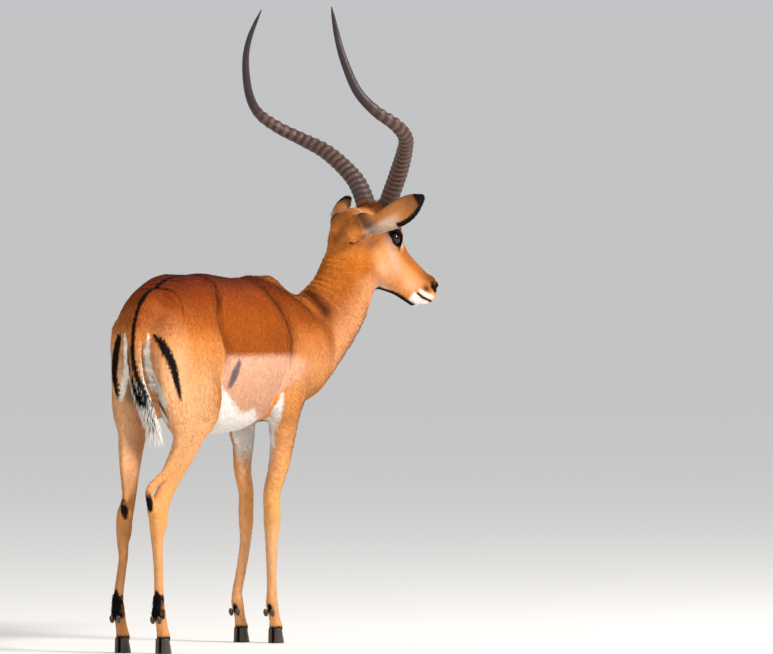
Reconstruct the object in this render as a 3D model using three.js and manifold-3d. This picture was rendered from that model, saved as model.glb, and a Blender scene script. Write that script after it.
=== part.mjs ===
// Adult male impala, standing, life size, as closed solids.
//
// Millimetres, +Z up. The animal faces -Y and its left side is +X. Its head is turned to its right.
// The flesh is one smooth-blended field of swept forms (bones and muscles). Rings are cast from the
// middle of each part out to that field, joined into one body, and the body is parted into named nodes.

import * as THREE from 'three';
import { mergeVertices } from 'three/addons/utils/BufferGeometryUtils.js';
import Module from 'manifold-3d';

const wasm = await Module();
wasm.setup();

// ---------------------------------------------------------------- driving dimensions

const BACK_HEIGHT = 912;          // croup, the highest point of the back
const COAT = 4;                   // depth of the short coat, outside the skin
const PARTING = 0.35;             // clear gap between neighbouring nodes
const CORONET_HEIGHT = 37;        // where the hoof's horn starts
const EYE_RADIUS = 19;
const EYE_PLACE = [-3, 33, 0];    // forward, sideways and up from the point midway between the eyes
const HEAD_MIDDLE = new THREE.Vector3(-182, -695, 993);
const HEAD_YAW = 28;              // degrees, turned to the animal's right
const HEAD_PITCH = 34;            // degrees, muzzle down
const RIDGES = 26;                // rings on each horn
const RIDGED_LENGTH = 0.66;       // share of the horn's length that carries them
const RIDGE_GROWTH = 2;           // the last ring's spacing over the first's
const HORN_BASE_RADIUS = 24;
const CLAW_LENGTH = 54;
const CLAW_WIDTH = 19;
const CLAW_SPLIT = 2;             // half the cleft between two claws

// ---------------------------------------------------------------- the head's own frame

const radians = THREE.MathUtils.degToRad;
const heading = new THREE.Vector3(-Math.sin(radians(HEAD_YAW)), -Math.cos(radians(HEAD_YAW)), 0);
const headLeft = new THREE.Vector3(Math.cos(radians(HEAD_YAW)), -Math.sin(radians(HEAD_YAW)), 0);
const headForward = heading.clone().multiplyScalar(Math.cos(radians(HEAD_PITCH)));
headForward.z = -Math.sin(radians(HEAD_PITCH));
const headUp = new THREE.Vector3().crossVectors(headForward, headLeft);

/** A point of the head, given forward, left and up from the point midway between the eyes. */
function onHead(forward, left, up) {
  return HEAD_MIDDLE.clone()
    .addScaledVector(headForward, forward)
    .addScaledVector(headLeft, left)
    .addScaledVector(headUp, up);
}

// ---------------------------------------------------------------- swept forms

/** Catmull-Rom rows between the given rows, `steps` to each interval. */
function smoothRows(rows, steps = 4) {
  const out = [];
  const at = (i) => rows[Math.min(Math.max(i, 0), rows.length - 1)];
  for (let i = 0; i < rows.length - 1; i++) {
    for (let s = 0; s < steps; s++) {
      const t = s / steps;
      out.push(rows[i].map((_, c) => {
        const [a, b, d, e] = [at(i - 1)[c], at(i)[c], at(i + 1)[c], at(i + 2)[c]];
        return 0.5 * (2 * b + (d - a) * t + (2 * a - 5 * b + 4 * d - e) * t * t + (3 * b - a - 3 * d + e) * t ** 3);
      }));
    }
  }
  out.push(rows[rows.length - 1]);
  return out;
}

/** A form swept along rows of [x, y, z, half width across, half depth, yaw in degrees]. */
function sweep(rows, blend) {
  const stations = smoothRows(rows.map((row) => [...row, 0].slice(0, 6))).map(([x, y, z, across, deep, yaw]) => ({
    middle: new THREE.Vector3(x, y, z),
    across,
    deep,
    side: new THREE.Vector3(Math.cos(radians(yaw)), -Math.sin(radians(yaw)), 0),
  }));
  return { stations, blend };
}

/** The same for rows given in the head's frame: [forward, left, up, half width, half depth]. */
function headSweep(rows, blend) {
  return sweep(rows.map(([f, l, u, across, deep]) => [...onHead(f, l, u).toArray(), across, deep, HEAD_YAW]), blend);
}

/** Rows mirrored to the animal's left (side 1) or right (side -1). */
const sided = (side, rows) => rows.map(([x, ...rest]) => [x * side, ...rest]);

const scratch = { along: new THREE.Vector3(), offset: new THREE.Vector3(), best: new THREE.Vector3() };

/** Roughly how far a point is outside one form, less than 0 inside. */
function formDistance(point, form) {
  const { along, offset, best } = scratch;
  let nearest = Infinity;
  let across = 0;
  let deep = 0;
  let side = form.stations[0].side;
  for (let i = 0; i < form.stations.length - 1; i++) {
    const a = form.stations[i];
    const b = form.stations[i + 1];
    along.subVectors(b.middle, a.middle);
    offset.subVectors(point, a.middle);
    const t = THREE.MathUtils.clamp(offset.dot(along) / along.lengthSq(), 0, 1);
    offset.addScaledVector(along, -t);
    if (offset.lengthSq() < nearest) {
      nearest = offset.lengthSq();
      best.copy(offset);
      across = a.across + (b.across - a.across) * t;
      deep = a.deep + (b.deep - a.deep) * t;
      side = a.side;
    }
  }
  const length = Math.sqrt(nearest);
  const sideways = best.dot(side);
  const inPlane = Math.sqrt(Math.max(nearest - sideways * sideways, 0));
  const ratio = Math.hypot(sideways / across, inPlane / deep);
  return ratio < 0.01 ? -Math.min(across, deep) : length * (1 - 1 / ratio);
}

/** The smaller of two distances, with the crease between them filled over `blend`. */
function blended(a, b, blend) {
  const overlap = Math.max(blend - Math.abs(a - b), 0) / blend;
  return Math.min(a, b) - overlap * overlap * blend / 4;
}

const groupDistance = (point, forms) => forms.reduce(
  (distance, form) => blended(distance, formDistance(point, form), form.blend), 1e4);

// ---------------------------------------------------------------- the animal's forms

/** Trunk rows come from its outline: [x, y, top, bottom, half width]. */
const trunkRow = ([x, y, top, bottom, halfWidth]) => [x, y, (top + bottom) / 2, halfWidth, (top - bottom) / 2];

const SPINE = BACK_HEIGHT - COAT;
const TRUNK_ROWS = [
  [0, 262, 818, 720, 40],
  [0, 235, 850, 656, 70],
  [0, 160, SPINE - 15, 598, 90],
  [0, 60, SPINE - 2, 550, 103],
  [0, -22, SPINE, 527, 112],
  [0, -100, SPINE - 6, 521, 119],
  [-3, -184, SPINE - 11, 526, 119],
  [-6, -260, SPINE - 9, 541, 109],
  [-9, -318, SPINE - 9, 553, 94],
  [-13, -390, 862, 568, 79],
  [-18, -450, 820, 590, 66],
  [-22, -492, 776, 622, 52],
].map(trunkRow);

const NECK_ROWS = [
  [-8, -408, 716, 76, 134, 2],
  [-46, -530, 750, 71, 113, 10],
  [-90, -603, 836, 61, 90, 20],
  [-115, -623, 925, 54, 74, 26],
  [-122, -618, 984, 48, 58, HEAD_YAW],
];

const TAIL_ROWS = [
  [0, 205, 850, 24, 20],
  [0, 246, 846, 19, 15],
  [0, 288, 812, 17, 12],
  [0, 311, 760, 16, 12],
  [-5, 324, 705, 15.5, 12],
  [-18, 331, 655, 15.5, 11],
  [-38, 333, 610, 14.5, 10],
  [-55, 330, 565, 12, 9],
];

const BRUSH_ROWS = [
  [-55, 330, 565, 12, 9],
  [-59, 329, 532, 8, 8],
  [-62, 328, 502, 3, 3],
];

/** The breast and the muscles that carry the fore legs. */
function shoulderForms(side) {
  const shoulderBlade = [[32, -328, 854, 15, 36], [60, -388, 780, 26, 54], [74, -444, 705, 30, 52], [72, -474, 655, 28, 32]];
  const upperArm = [[66, -372, 760, 26, 60], [78, -362, 665, 30, 66], [72, -336, 600, 24, 44]];
  return [shoulderBlade, upperArm].map((rows) => sweep(sided(side, rows).map(([x, ...rest]) => [x - 10, ...rest]), 45));
}

/** Croup, hip point and the buttock's muscles. */
function haunchForms(side) {
  return [
    sweep(sided(side, [[74, 56, 866, 14, 16], [82, 60, 850, 16, 20]]), 40),
    sweep(sided(side, [[50, 78, 830, 32, 42], [53, 158, 768, 42, 60], [46, 224, 738, 35, 42]]), 44),
    sweep(sided(side, [[57, 158, 763, 46, 88], [72, 145, 670, 42, 90], [82, 120, 595, 33, 62], [82, 112, 572, 26, 36]]), 40),
    sweep(sided(side, [[53, 246, 764, 32, 40], [58, 244, 664, 28, 50], [64, 227, 586, 21, 38]]), 30),
    sweep(sided(side, [[40, 72, 868, 30, 28], [42, 116, 862, 30, 28], [30, 186, 836, 26, 28]]), 40),
  ];
}

/** A fore leg from the elbow to the coronet. Its lower joints stand where this animal has set them. */
function foreLegForms({ elbow, bend, fetlock, girth }) {
  const [ex, ey] = elbow;
  const toward = (share) => ex + (bend[0] - ex) * share;
  return [
    sweep([
      [ex, ey - 12, 590, 25 * girth, 50 * girth],
      [toward(0.25), ey - 9, 520, 23.5 * girth, 38 * girth],
      [toward(0.55), ey + 5, 430, 20 * girth, 28 * girth],
      [bend[0], bend[1], 372, 18 * girth, 23 * girth],
      [bend[0], bend[1], 325, 18.5 * girth, 21 * girth],
      [bend[0], bend[1], 295, 18 * girth, 20 * girth],
      [bend[0], bend[1] + 3, 250, 13.5 * girth, 16 * girth],
      [(bend[0] + fetlock[0]) / 2, (bend[1] + fetlock[1]) / 2 + 2, 180, 11.5, 13],
      [fetlock[0], fetlock[1] + 1, 126, 11.5, 13],
      [fetlock[0], fetlock[1], 97, 14, 16],
      [fetlock[0], fetlock[1] - 13, 64, 12.5, 13.5],
      [fetlock[0], fetlock[1] - 22, CORONET_HEIGHT, 16, 17],
    ], 12),
    sweep([[ex, ey + 36, 592, 14, 17], [toward(0.2), ey + 19, 520, 14, 18]], 30),
  ];
}

/** A hind leg from the stifle to the coronet, with the heel tendon behind the shank. Its hock is `drop` lower. */
function hindLegForms({ side, shank, bend, heel, fetlock, drop, girth }) {
  const [knee, calf, gaskin] = shank;
  return [
    sweep([
      [...knee, 602, 30, 56],
      [...calf, 512, 25, 40],
      [...gaskin, 436, 17, 31 * girth],
      [bend[0] * 0.8 + gaskin[0] * 0.2, bend[1] * 0.45 + gaskin[1] * 0.55, 388 - drop, 15 * girth, 26 * girth],
      [bend[0], bend[1] - 4, 345 - drop, 17 * girth, 31 * girth],
      [bend[0], bend[1], 310 - drop, 17.5 * girth, 27 * girth],
      [bend[0], bend[1] + 5, 284 - drop, 14 * girth, 18.5 * girth],
      [bend[0], bend[1] + 3, 250 - drop, 11 * girth, 14.5 * girth],
      [(bend[0] + fetlock[0]) / 2, (bend[1] + fetlock[1]) / 2, 190, 10, 12.5 * girth],
      [fetlock[0], fetlock[1] + 1, 132, 11, 13],
      [fetlock[0], fetlock[1], 104, 14, 17],
      [fetlock[0], fetlock[1] - 14, 68, 12.5, 14],
      [fetlock[0], fetlock[1] - 24, CORONET_HEIGHT, 16, 17],
    ], 12),
    sweep([
      [side * 66, 228, 596, 18, 32],
      [calf[0] - side * 2, calf[1] + 44, 506, 12, 18],
      [gaskin[0], gaskin[1] + 37, 440, 7, 11],
      [heel[0], heel[1] - 6, 398 - drop, 8, 11],
      [...heel, 374 - drop, 9, 12],
      [heel[0], heel[1] - 13, 346 - drop, 9, 11],
    ], 22),
  ];
}

function headForms() {
  const middle = [
    headSweep([[-104, 0, -18, 38, 33], [-60, 0, -2, 45, 44], [-10, 0, -2, 40, 38], [30, 0, -14, 32, 30]], 20),
    headSweep([[0, 0, -36, 38, 54], [50, 0, -38, 32, 49], [100, 0, -40, 25, 44], [145, 0, -40, 20, 40], [172, 0, -38, 18, 33]], 20),
    headSweep([[-12, 0, -86, 29, 32], [45, 0, -90, 18, 24], [100, 0, -83, 11, 14], [156, 0, -77, 12, 13]], 26),
    headSweep([[170, 0, -14, 15, 14], [173, 0, -42, 17, 16]], 16),
  ];
  const paired = [-1, 1].flatMap((side) => [
    headSweep([[-8, side * 24, -52, 14, 38], [45, side * 19, -62, 13, 32]], 26),
    headSweep([[-6, side * 32, 0, 18, 22], [2, side * 32, -2, 17, 21]], 18),
    headSweep([[-18, side * 32, 18, 10, 9], [10, side * 31, 16, 9, 9]], 16),
    headSweep([[-52, side * 26, 8, 23, 23], [-64, side * 32, 38, 23, 23]], 16),
    headSweep([[-110, side * 34, -30, 20, 24], [-114, side * 52, -22, 18, 19]], 22),
  ]);
  return [...middle, ...paired];
}

const SIDE_NAMES = { '1': 'left', '-1': 'right' };

/** Where each leg's joints stand: [x, y] at the elbow or down the shank, at the knee or hock, at the point of the
 * hock, and at the fetlock. Girth is how thick the leg is beside the usual. */
const LEGS = [
  { name: 'fore', side: 1, elbow: [54, -360], bend: [41, -363], fetlock: [52, -338], girth: 0.94 },
  { name: 'fore', side: -1, elbow: [-70, -354], bend: [-42, -340], fetlock: [-45, -334], girth: 1.07 },
  {
    name: 'hind', side: 1, shank: [[82, 128], [63, 200], [47, 240]], bend: [40, 290], heel: [25, 313],
    fetlock: [57, 286], drop: 20, girth: 0.9,
  },
  {
    name: 'hind', side: -1, shank: [[-86, 122], [-78, 178], [-64, 227]], bend: [-50, 286], heel: [-50, 329],
    fetlock: [-55, 291], drop: 0, girth: 1.05,
  },
].map((leg) => ({ ...leg, forms: (leg.name === 'fore' ? foreLegForms : hindLegForms)(leg) }));

const BODY_FORMS = [
  sweep(TRUNK_ROWS, 10),
  ...[-1, 1].flatMap(haunchForms),
  ...[-1, 1].flatMap(shoulderForms),
  sweep([[0, 222, 828, 36, 28], [0, 260, 806, 30, 26], [0, 282, 768, 22, 20]], 30),
  sweep([[-18, -472, 646, 38, 38], [-34, -514, 698, 42, 50]], 50),
  sweep(NECK_ROWS, 70),
  ...headForms(),
];

/** How far a point is outside the skin. The legs blend into the body but not into each other. */
function skinDistance(point) {
  const body = groupDistance(point, BODY_FORMS);
  let distance = body;
  for (const leg of LEGS) {
    distance = Math.min(distance, blended(body, groupDistance(point, leg.forms), 40));
  }
  return distance;
}

// ---------------------------------------------------------------- rings into solids

/** From a point inside, the first way out along `direction` to `coat` beyond the skin, at most `reach`. */
function castOut(from, direction, coat, reach, distanceTo) {
  const point = new THREE.Vector3();
  let travelled = 0;
  for (let step = 0; step < 60; step++) {
    const gap = distanceTo(point.copy(from).addScaledVector(direction, travelled)) - coat;
    if (gap > -0.05 || travelled > reach) break;
    travelled += Math.max(-gap * 0.7, 0.05);
  }
  return point.copy(from).addScaledVector(direction, Math.min(travelled, reach)).clone();
}

/** The outermost skin along `direction`, found from `reach` inward, so that no cleft is followed. */
function castIn(from, direction, coat, reach, distanceTo) {
  const point = new THREE.Vector3();
  let travelled = reach;
  for (let step = 0; step < 60; step++) {
    const gap = distanceTo(point.copy(from).addScaledVector(direction, travelled)) - coat;
    if (gap < 0.05 || travelled < 1) break;
    travelled -= Math.max(gap * 0.7, 0.05);
  }
  return point.copy(from).addScaledVector(direction, Math.max(travelled, 1)).clone();
}

/** A closed geometry from rings of equal length and a point that closes each end. */
function ringsToGeometry(rings, first, last) {
  const sides = rings[0].length;
  const positions = [first, ...rings.flat(), last].flatMap((v) => v.toArray());
  const index = [];
  const at = (ring, k) => 1 + ring * sides + (k % sides);
  const end = 1 + rings.length * sides;
  for (let k = 0; k < sides; k++) {
    index.push(0, at(0, k + 1), at(0, k));
    index.push(end, at(rings.length - 1, k), at(rings.length - 1, k + 1));
    for (let r = 0; r < rings.length - 1; r++) {
      index.push(at(r, k), at(r, k + 1), at(r + 1, k + 1));
      index.push(at(r, k), at(r + 1, k + 1), at(r + 1, k));
    }
  }
  const geometry = new THREE.BufferGeometry();
  geometry.setAttribute('position', new THREE.Float32BufferAttribute(positions, 3));
  geometry.setIndex(index);
  return outward(geometry);
}

/** Turns a closed geometry's faces outward if its signed volume is negative. */
function outward(geometry) {
  const p = geometry.attributes.position;
  const index = geometry.index.array;
  const corner = (i) => new THREE.Vector3().fromBufferAttribute(p, index[i]);
  let volume = 0;
  for (let i = 0; i < index.length; i += 3) volume += corner(i).dot(corner(i + 1).cross(corner(i + 2)));
  if (volume < 0) {
    for (let i = 0; i < index.length; i += 3) [index[i + 1], index[i + 2]] = [index[i + 2], index[i + 1]];
  }
  return geometry;
}

/** Wraps the skin around a row of stations, with rings of `sides` points and rounded ends. */
function wrap(stations, sides, coat, cast, distanceTo = skinDistance) {
  const final = stations.length - 1;
  const axisAt = (i) => new THREE.Vector3().subVectors(
    stations[Math.min(i + 1, final)].middle, stations[Math.max(i - 1, 0)].middle).normalize();
  const ringAt = (i, lean) => {
    const { middle, across, deep, side } = stations[i];
    const upright = new THREE.Vector3().crossVectors(axisAt(i), side).normalize();
    const flat = new THREE.Vector3().crossVectors(upright, axisAt(i)).normalize();
    const reach = Math.max(across, deep) * 1.3 + 16;
    return Array.from({ length: sides }, (_, k) => {
      const turn = (k + 0.5) / sides * 2 * Math.PI;
      const direction = new THREE.Vector3()
        .addScaledVector(flat, Math.cos(turn) * across)
        .addScaledVector(upright, Math.sin(turn) * deep)
        .normalize()
        .multiplyScalar(Math.cos(lean))
        .addScaledVector(axisAt(i), Math.sin(lean));
      return cast(middle, direction, coat, reach, distanceTo);
    });
  };
  const leans = [62, 30].map(radians);
  const rings = [
    ...leans.map((lean) => ringAt(0, -lean)),
    ...stations.map((_, i) => ringAt(i, 0)),
    ...leans.toReversed().map((lean) => ringAt(final, lean)),
  ];
  const tip = (i, way) => cast(stations[i].middle, axisAt(i).multiplyScalar(way), coat, stations[i].deep * 2, distanceTo);
  return ringsToGeometry(rings, tip(0, -1), tip(final, 1));
}

/** Evenly picked stations of a form. */
const picked = (form, count) => Array.from({ length: count },
  (_, i) => form.stations[Math.round(i * (form.stations.length - 1) / (count - 1))]);

// ---------------------------------------------------------------- solids

function toSolid(source) {
  let geometry = source.clone();
  geometry.deleteAttribute('normal');
  geometry.deleteAttribute('uv');
  geometry = mergeVertices(geometry, 1e-4);
  return new wasm.Manifold(new wasm.Mesh({
    numProp: 3,
    vertProperties: Float32Array.from(geometry.attributes.position.array),
    triVerts: Uint32Array.from(geometry.index.array),
  }));
}

function toGeometry(solid) {
  const mesh = solid.getMesh();
  const geometry = new THREE.BufferGeometry();
  geometry.setAttribute('position', new THREE.BufferAttribute(mesh.vertProperties, 3));
  geometry.setIndex(new THREE.BufferAttribute(mesh.triVerts, 1));
  return geometry;
}

const TRUNK_RINGS = 24;
const trunkSolid = (coat) => toSolid(wrap(picked(BODY_FORMS[0], TRUNK_RINGS), 26, coat, castOut));

const neckSolid = (coat) => toSolid(wrap(picked(sweep(NECK_ROWS, 0), 9), 20, coat, castOut));

const headAxis = headSweep([
  [-92, 0, -26, 42, 42],
  [-60, 0, -30, 48, 60],
  [0, 0, -42, 44, 66],
  [60, 0, -48, 34, 58],
  [120, 0, -46, 24, 46],
  [168, 0, -40, 19, 38],
], 0);

const headSolid = (coat) => toSolid(wrap(picked(headAxis, 15), 20, coat, castIn));

/** The line that a leg's rings are cast from: down the muscles, then down the leg's own middle. */
function legAxis({ name, side, elbow, forms }) {
  const muscles = name === 'fore'
    ? [[elbow[0] - side * 2, -392, 756, 34, 84], [elbow[0], -384, 668, 34, 80], [elbow[0], -368, 622, 28, 56]]
    : [[side * 62, 158, 836, 40, 100], [side * 64, 166, 770, 46, 110], [side * 68, 162, 700, 46, 112], [side * 78, 150, 640, 36, 90]];
  return [...sweep(muscles, 0).stations, ...forms[0].stations.slice(1)].filter((_, i) => i % 4 === 0);
}

const legSolid = (leg, coat) => toSolid(wrap(legAxis(leg), 10, coat, castOut));

// ---------------------------------------------------------------- parting planes

/** A huge block behind a plane: all of space on the side that `normal` points away from. */
function behind(point, normal, gap = 0) {
  const reach = 4000;
  const direction = new THREE.Vector3(...normal).normalize();
  const block = new THREE.BoxGeometry(reach, reach, reach);
  block.translate(0, 0, -reach / 2);
  block.applyQuaternion(new THREE.Quaternion().setFromUnitVectors(new THREE.Vector3(0, 0, 1), direction));
  const face = new THREE.Vector3(...point).addScaledVector(direction, gap);
  block.translate(face.x, face.y, face.z);
  return toSolid(block);
}

/** The part of space behind every plane of a list of [point, normal], each moved out by `gap`. */
const regionOf = (planes, gap = 0) => planes
  .map(([point, normal]) => behind(point, normal, gap))
  .reduce((region, block) => region.intersect(block));

const negated = (v) => v.map((c) => -c);

/** The plane across the throat and the nape, seen from the head. */
const HEAD_PLANES = [[
  onHead(-58, 0, -58).toArray(),
  headForward.clone().multiplyScalar(-0.69).addScaledVector(headUp, -0.72).toArray(),
]];

const NECK_PLANES = [[[-22, -466, 742], [0.34, 0.79, -0.51]]];

/** The planes that part a leg from the trunk: inside it, above it, and ahead of or behind its muscles. */
function legPlanes({ name, side }) {
  if (name === 'fore') {
    return [
      [[side * 4, 0, 0], [-side, 0, 0]],
      [[side * 34 - 10, 0, 575], [-side * 0.985, 0, 0.174]],
      [[0, 0, 735], [0, 0, 1]],
      [[0, -296, 0], [0, 1, 0]],
      [NECK_PLANES[0][0], negated(NECK_PLANES[0][1])],
    ];
  }
  return [
    [[side * 32, 0, 0], [-side, 0, 0]],
    [[0, 160, 826], [0, 0.26, 0.966]],
    [[0, 34, 556], [0, -0.984, 0.177]],
  ];
}

const JOINT_HEIGHT = { fore: 290, hind: 386 };

// ---------------------------------------------------------------- horns, ears, eyes, hooves

/** The left horn's middle line: back from the eyes along the heading, sideways, and up, all level. */
const HORN_LINE = [
  [-17, 33, 46],
  [-27, 45, 85],
  [-33, 89, 151],
  [-62, 159, 214],
  [-100, 215, 249],
  [-153, 246, 279],
  [-214, 245, 314],
  [-256, 228, 363],
  [-281, 207, 439],
  [-285, 184, 501],
  [-275, 148, 569],
];

/** The horn's radius at shares of its length. */
const HORN_RADII = [
  [0, HORN_BASE_RADIUS], [0.1, 22], [0.2, 20.3], [0.3, 18.4], [0.4, 16], [0.5, 14.2],
  [0.6, 12.6], [0.7, 11], [0.8, 9.2], [0.9, 7], [0.96, 4.5], [1, 1.2],
];

function hornRadius(along) {
  const last = Math.max(HORN_RADII.findIndex(([share]) => share >= along), 1);
  const [[from, thick], [to, thin]] = HORN_RADII.slice(last - 1, last + 1);
  return thick + (thin - thick) * (along - from) / (to - from);
}

/** The share of the horn's length where a ring starts: each ring is spaced wider than the one below it. */
const ridgeStart = (ridge) => RIDGED_LENGTH * (RIDGE_GROWTH ** (ridge / RIDGES) - 1) / (RIDGE_GROWTH - 1);

function hornGeometry(side) {
  const line = new THREE.CatmullRomCurve3(HORN_LINE.map(([back, out, up]) => HEAD_MIDDLE.clone()
    .addScaledVector(heading, back)
    .addScaledVector(headLeft, side * out)
    .add(new THREE.Vector3(0, 0, up))), false, 'centripetal');
  const sides = 8;
  const smoothRings = 7;
  const rows = [];
  for (let ridge = 0; ridge < RIDGES; ridge++) {
    rows.push([ridgeStart(ridge), 0]);
    rows.push([ridgeStart(ridge + 0.6), 1]);
  }
  for (let row = 0; row < smoothRings; row++) rows.push([RIDGED_LENGTH + (1 - RIDGED_LENGTH) * row / smoothRings, 0]);
  let across = headLeft.clone().multiplyScalar(side);
  const rings = rows.map(([along, crest]) => {
    const middle = line.getPointAt(along);
    const tangent = line.getTangentAt(along);
    const front = new THREE.Vector3().crossVectors(across, tangent).multiplyScalar(side).normalize();
    across = new THREE.Vector3().crossVectors(tangent, front).multiplyScalar(side).normalize();
    const radius = hornRadius(along);
    const swell = crest * 2.6 * (1 - along * 0.9);
    return Array.from({ length: sides }, (_, k) => {
      const turn = k / sides * 2 * Math.PI;
      const size = radius + swell * (0.65 + 0.35 * Math.cos(turn));
      return middle.clone()
        .addScaledVector(front, Math.cos(turn) * size * 1.06)
        .addScaledVector(across, Math.sin(turn) * size * 0.94);
    });
  });
  return ringsToGeometry(rings, line.getPointAt(0), line.getPointAt(1));
}

const EAR_LENGTH = 184;
const EAR_WALL = 3.2;

/** Which way each ear points: forward, outward and up. The left one is held further back. */
const EAR_AXIS = { '1': [0.15, 0.65, 0.745], '-1': [0.254, 0.55, 0.786] };

/** Rows of the ear: [share of the length, half width, cup depth, how hollow]. */
const EAR_ROWS = [
  [-0.14, 15, 13, 0],
  [0.12, 19, 17, 0],
  [0.26, 24, 21, 0.8],
  [0.42, 30, 23, 1],
  [0.58, 34.5, 21, 1],
  [0.74, 33, 17, 1],
  [0.87, 24, 12, 1],
  [0.96, 12, 7, 0.8],
  [1, 6, 4, 0],
];

/** Which way each ear's opening is turned: forward, outward and up. */
const EAR_OPENING = { '1': [0.95, 0.1, 0.1], '-1': [0.8, -0.6, 0.1] };

/** How far out each ear's root stands, and how wide the ear is beside the usual: the left one is folded narrower. */
const EAR_ROOT_SIDE = { '1': 40, '-1': 44 };
const EAR_FULLNESS = { '1': 0.82, '-1': 1 };
const EAR_ROOT_FORWARD = -106;
const EAR_ROOT_UP = -52;

/** How far each ear bows down at its middle, and how far both curl out of their opening at the tip. */
const EAR_SAG = { '1': 0, '-1': 11 };
const EAR_CURL = 14;

function earGeometry(side) {
  const root = onHead(EAR_ROOT_FORWARD, side * EAR_ROOT_SIDE[side], EAR_ROOT_UP);
  const inHead = (f, l, u) => new THREE.Vector3()
    .addScaledVector(headForward, f).addScaledVector(headLeft, l * side).addScaledVector(headUp, u).normalize();
  const axis = inHead(...EAR_AXIS[side]);
  const opening = inHead(...EAR_OPENING[side]);
  opening.addScaledVector(axis, -opening.dot(axis)).normalize();
  const wide = new THREE.Vector3().crossVectors(axis, opening);
  const outerPoints = 8;
  const innerPoints = 6;
  const rings = EAR_ROWS.map(([along, fullWidth, depth, hollow]) => {
    const halfWidth = fullWidth * EAR_FULLNESS[side];
    const share = Math.max(along, 0);
    const middle = root.clone()
      .addScaledVector(axis, along * EAR_LENGTH)
      .addScaledVector(opening, EAR_CURL * share ** 2)
      .addScaledVector(wide, side * EAR_SAG[side] * Math.sin(Math.PI * share));
    const place = (turn, width, deep) => middle.clone()
      .addScaledVector(wide, Math.sin(turn) * width)
      .addScaledVector(opening, -Math.cos(turn) * deep);
    const outer = Array.from({ length: outerPoints },
      (_, k) => place(-Math.PI / 2 + k / (outerPoints - 1) * Math.PI, halfWidth, depth));
    const inner = Array.from({ length: innerPoints }, (_, k) => {
      const turn = Math.PI / 2 - (k + 0.5) / innerPoints * Math.PI;
      return place(turn, halfWidth - EAR_WALL, (depth - EAR_WALL) * hollow - 1.5 * (1 - hollow));
    });
    return [...outer, ...inner];
  });
  const middleOf = (ring) => ring.reduce((sum, v) => sum.add(v), new THREE.Vector3()).divideScalar(ring.length);
  return ringsToGeometry(rings, middleOf(rings[0]), middleOf(rings[rings.length - 1]).addScaledVector(axis, 2));
}

function eyeGeometry(grow = 0) {
  return new THREE.SphereGeometry(EYE_RADIUS + grow, 12, 8);
}

const eyeMiddle = (side) => onHead(EYE_PLACE[0], side * EYE_PLACE[1], EYE_PLACE[2]);

/** The socket with the opening between the lids, in front of the eye. */
function eyeSocket(side) {
  const ball = eyeGeometry(PARTING);
  const gape = new THREE.SphereGeometry(1, 12, 8);
  gape.scale(18, 14, 13.5);
  gape.applyMatrix4(new THREE.Matrix4().makeBasis(headForward, headLeft, headUp));
  const middle = eyeMiddle(side);
  const front = middle.clone().addScaledVector(headLeft, side * 14);
  ball.translate(middle.x, middle.y, middle.z);
  gape.translate(front.x, front.y, front.z);
  return toSolid(ball).add(toSolid(gape));
}

/** One claw of a cloven hoof: its toe points to -Y, its flat inner wall is at x = 0, its sole at z = 0. */
function clawGeometry() {
  const points = 12;
  const top = CORONET_HEIGHT - PARTING;
  const rows = [[0, 0.97], [2.5, 1], [top * 0.5, 0.93], [top, 0.86]];
  const rings = rows.map(([height, fullness]) => {
    const rise = height / top;
    const heel = 23 - 2 * rise;
    const toe = heel - CLAW_LENGTH * (1 - 0.42 * rise) * (0.94 + 0.06 * fullness);
    return Array.from({ length: points }, (_, k) => {
      const turn = k / points * 2 * Math.PI;
      const back = (1 + Math.cos(turn)) / 2;
      const narrowing = Math.pow(back, 0.35);
      const bulge = Math.sin(turn) > 0 ? Math.sin(turn) * CLAW_WIDTH * fullness * narrowing : 0;
      const hollow = Math.sin(turn) < 0 ? Math.sin(turn) * 0.6 : 0;
      return new THREE.Vector3(bulge + hollow + 0.6, toe + (heel - toe) * back, height);
    });
  });
  return ringsToGeometry(rings, new THREE.Vector3(7, 0, 0), new THREE.Vector3(6, 6, top));
}

const DEWCLAW_HEIGHT = { fore: 76, hind: 82 };

function dewclawSolid(leg, outer) {
  const claw = new THREE.SphereGeometry(1, 6, 5);
  claw.scale(6, 8, 11);
  claw.rotateX(radians(-28));
  const backward = 17;
  claw.translate(leg.fetlock[0] + outer * 9, leg.fetlock[1] + backward, DEWCLAW_HEIGHT[leg.name]);
  return toSolid(claw);
}

// ---------------------------------------------------------------- materials

const finish = (color, roughness, metalness = 0) => new THREE.MeshStandardMaterial({ color, roughness, metalness });

const COLOURS = {
  coat_tan: finish('#b8763c', 0.8),
  coat_dark: finish('#2a1a12', 0.8),
  coat_white: finish('#efe6da', 0.85),
  horn: finish('#3a2620', 0.5),
  hoof: finish('#1b1613', 0.45),
  eye: finish('#120b07', 0.08),
};

// ---------------------------------------------------------------- assembly

const model = new THREE.Group();
const impala = new THREE.Group();
model.add(impala);

function addNode(name, geometry, colour, place = [0, 0, 0], turnZ = 0) {
  const mesh = new THREE.Mesh(geometry, COLOURS[colour]);
  mesh.name = name;
  mesh.position.set(...place);
  mesh.rotation.z = turnZ;
  impala.add(mesh);
  return mesh;
}

const addSolid = (name, solid, colour) => addNode(name, toGeometry(solid), colour);

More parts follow.
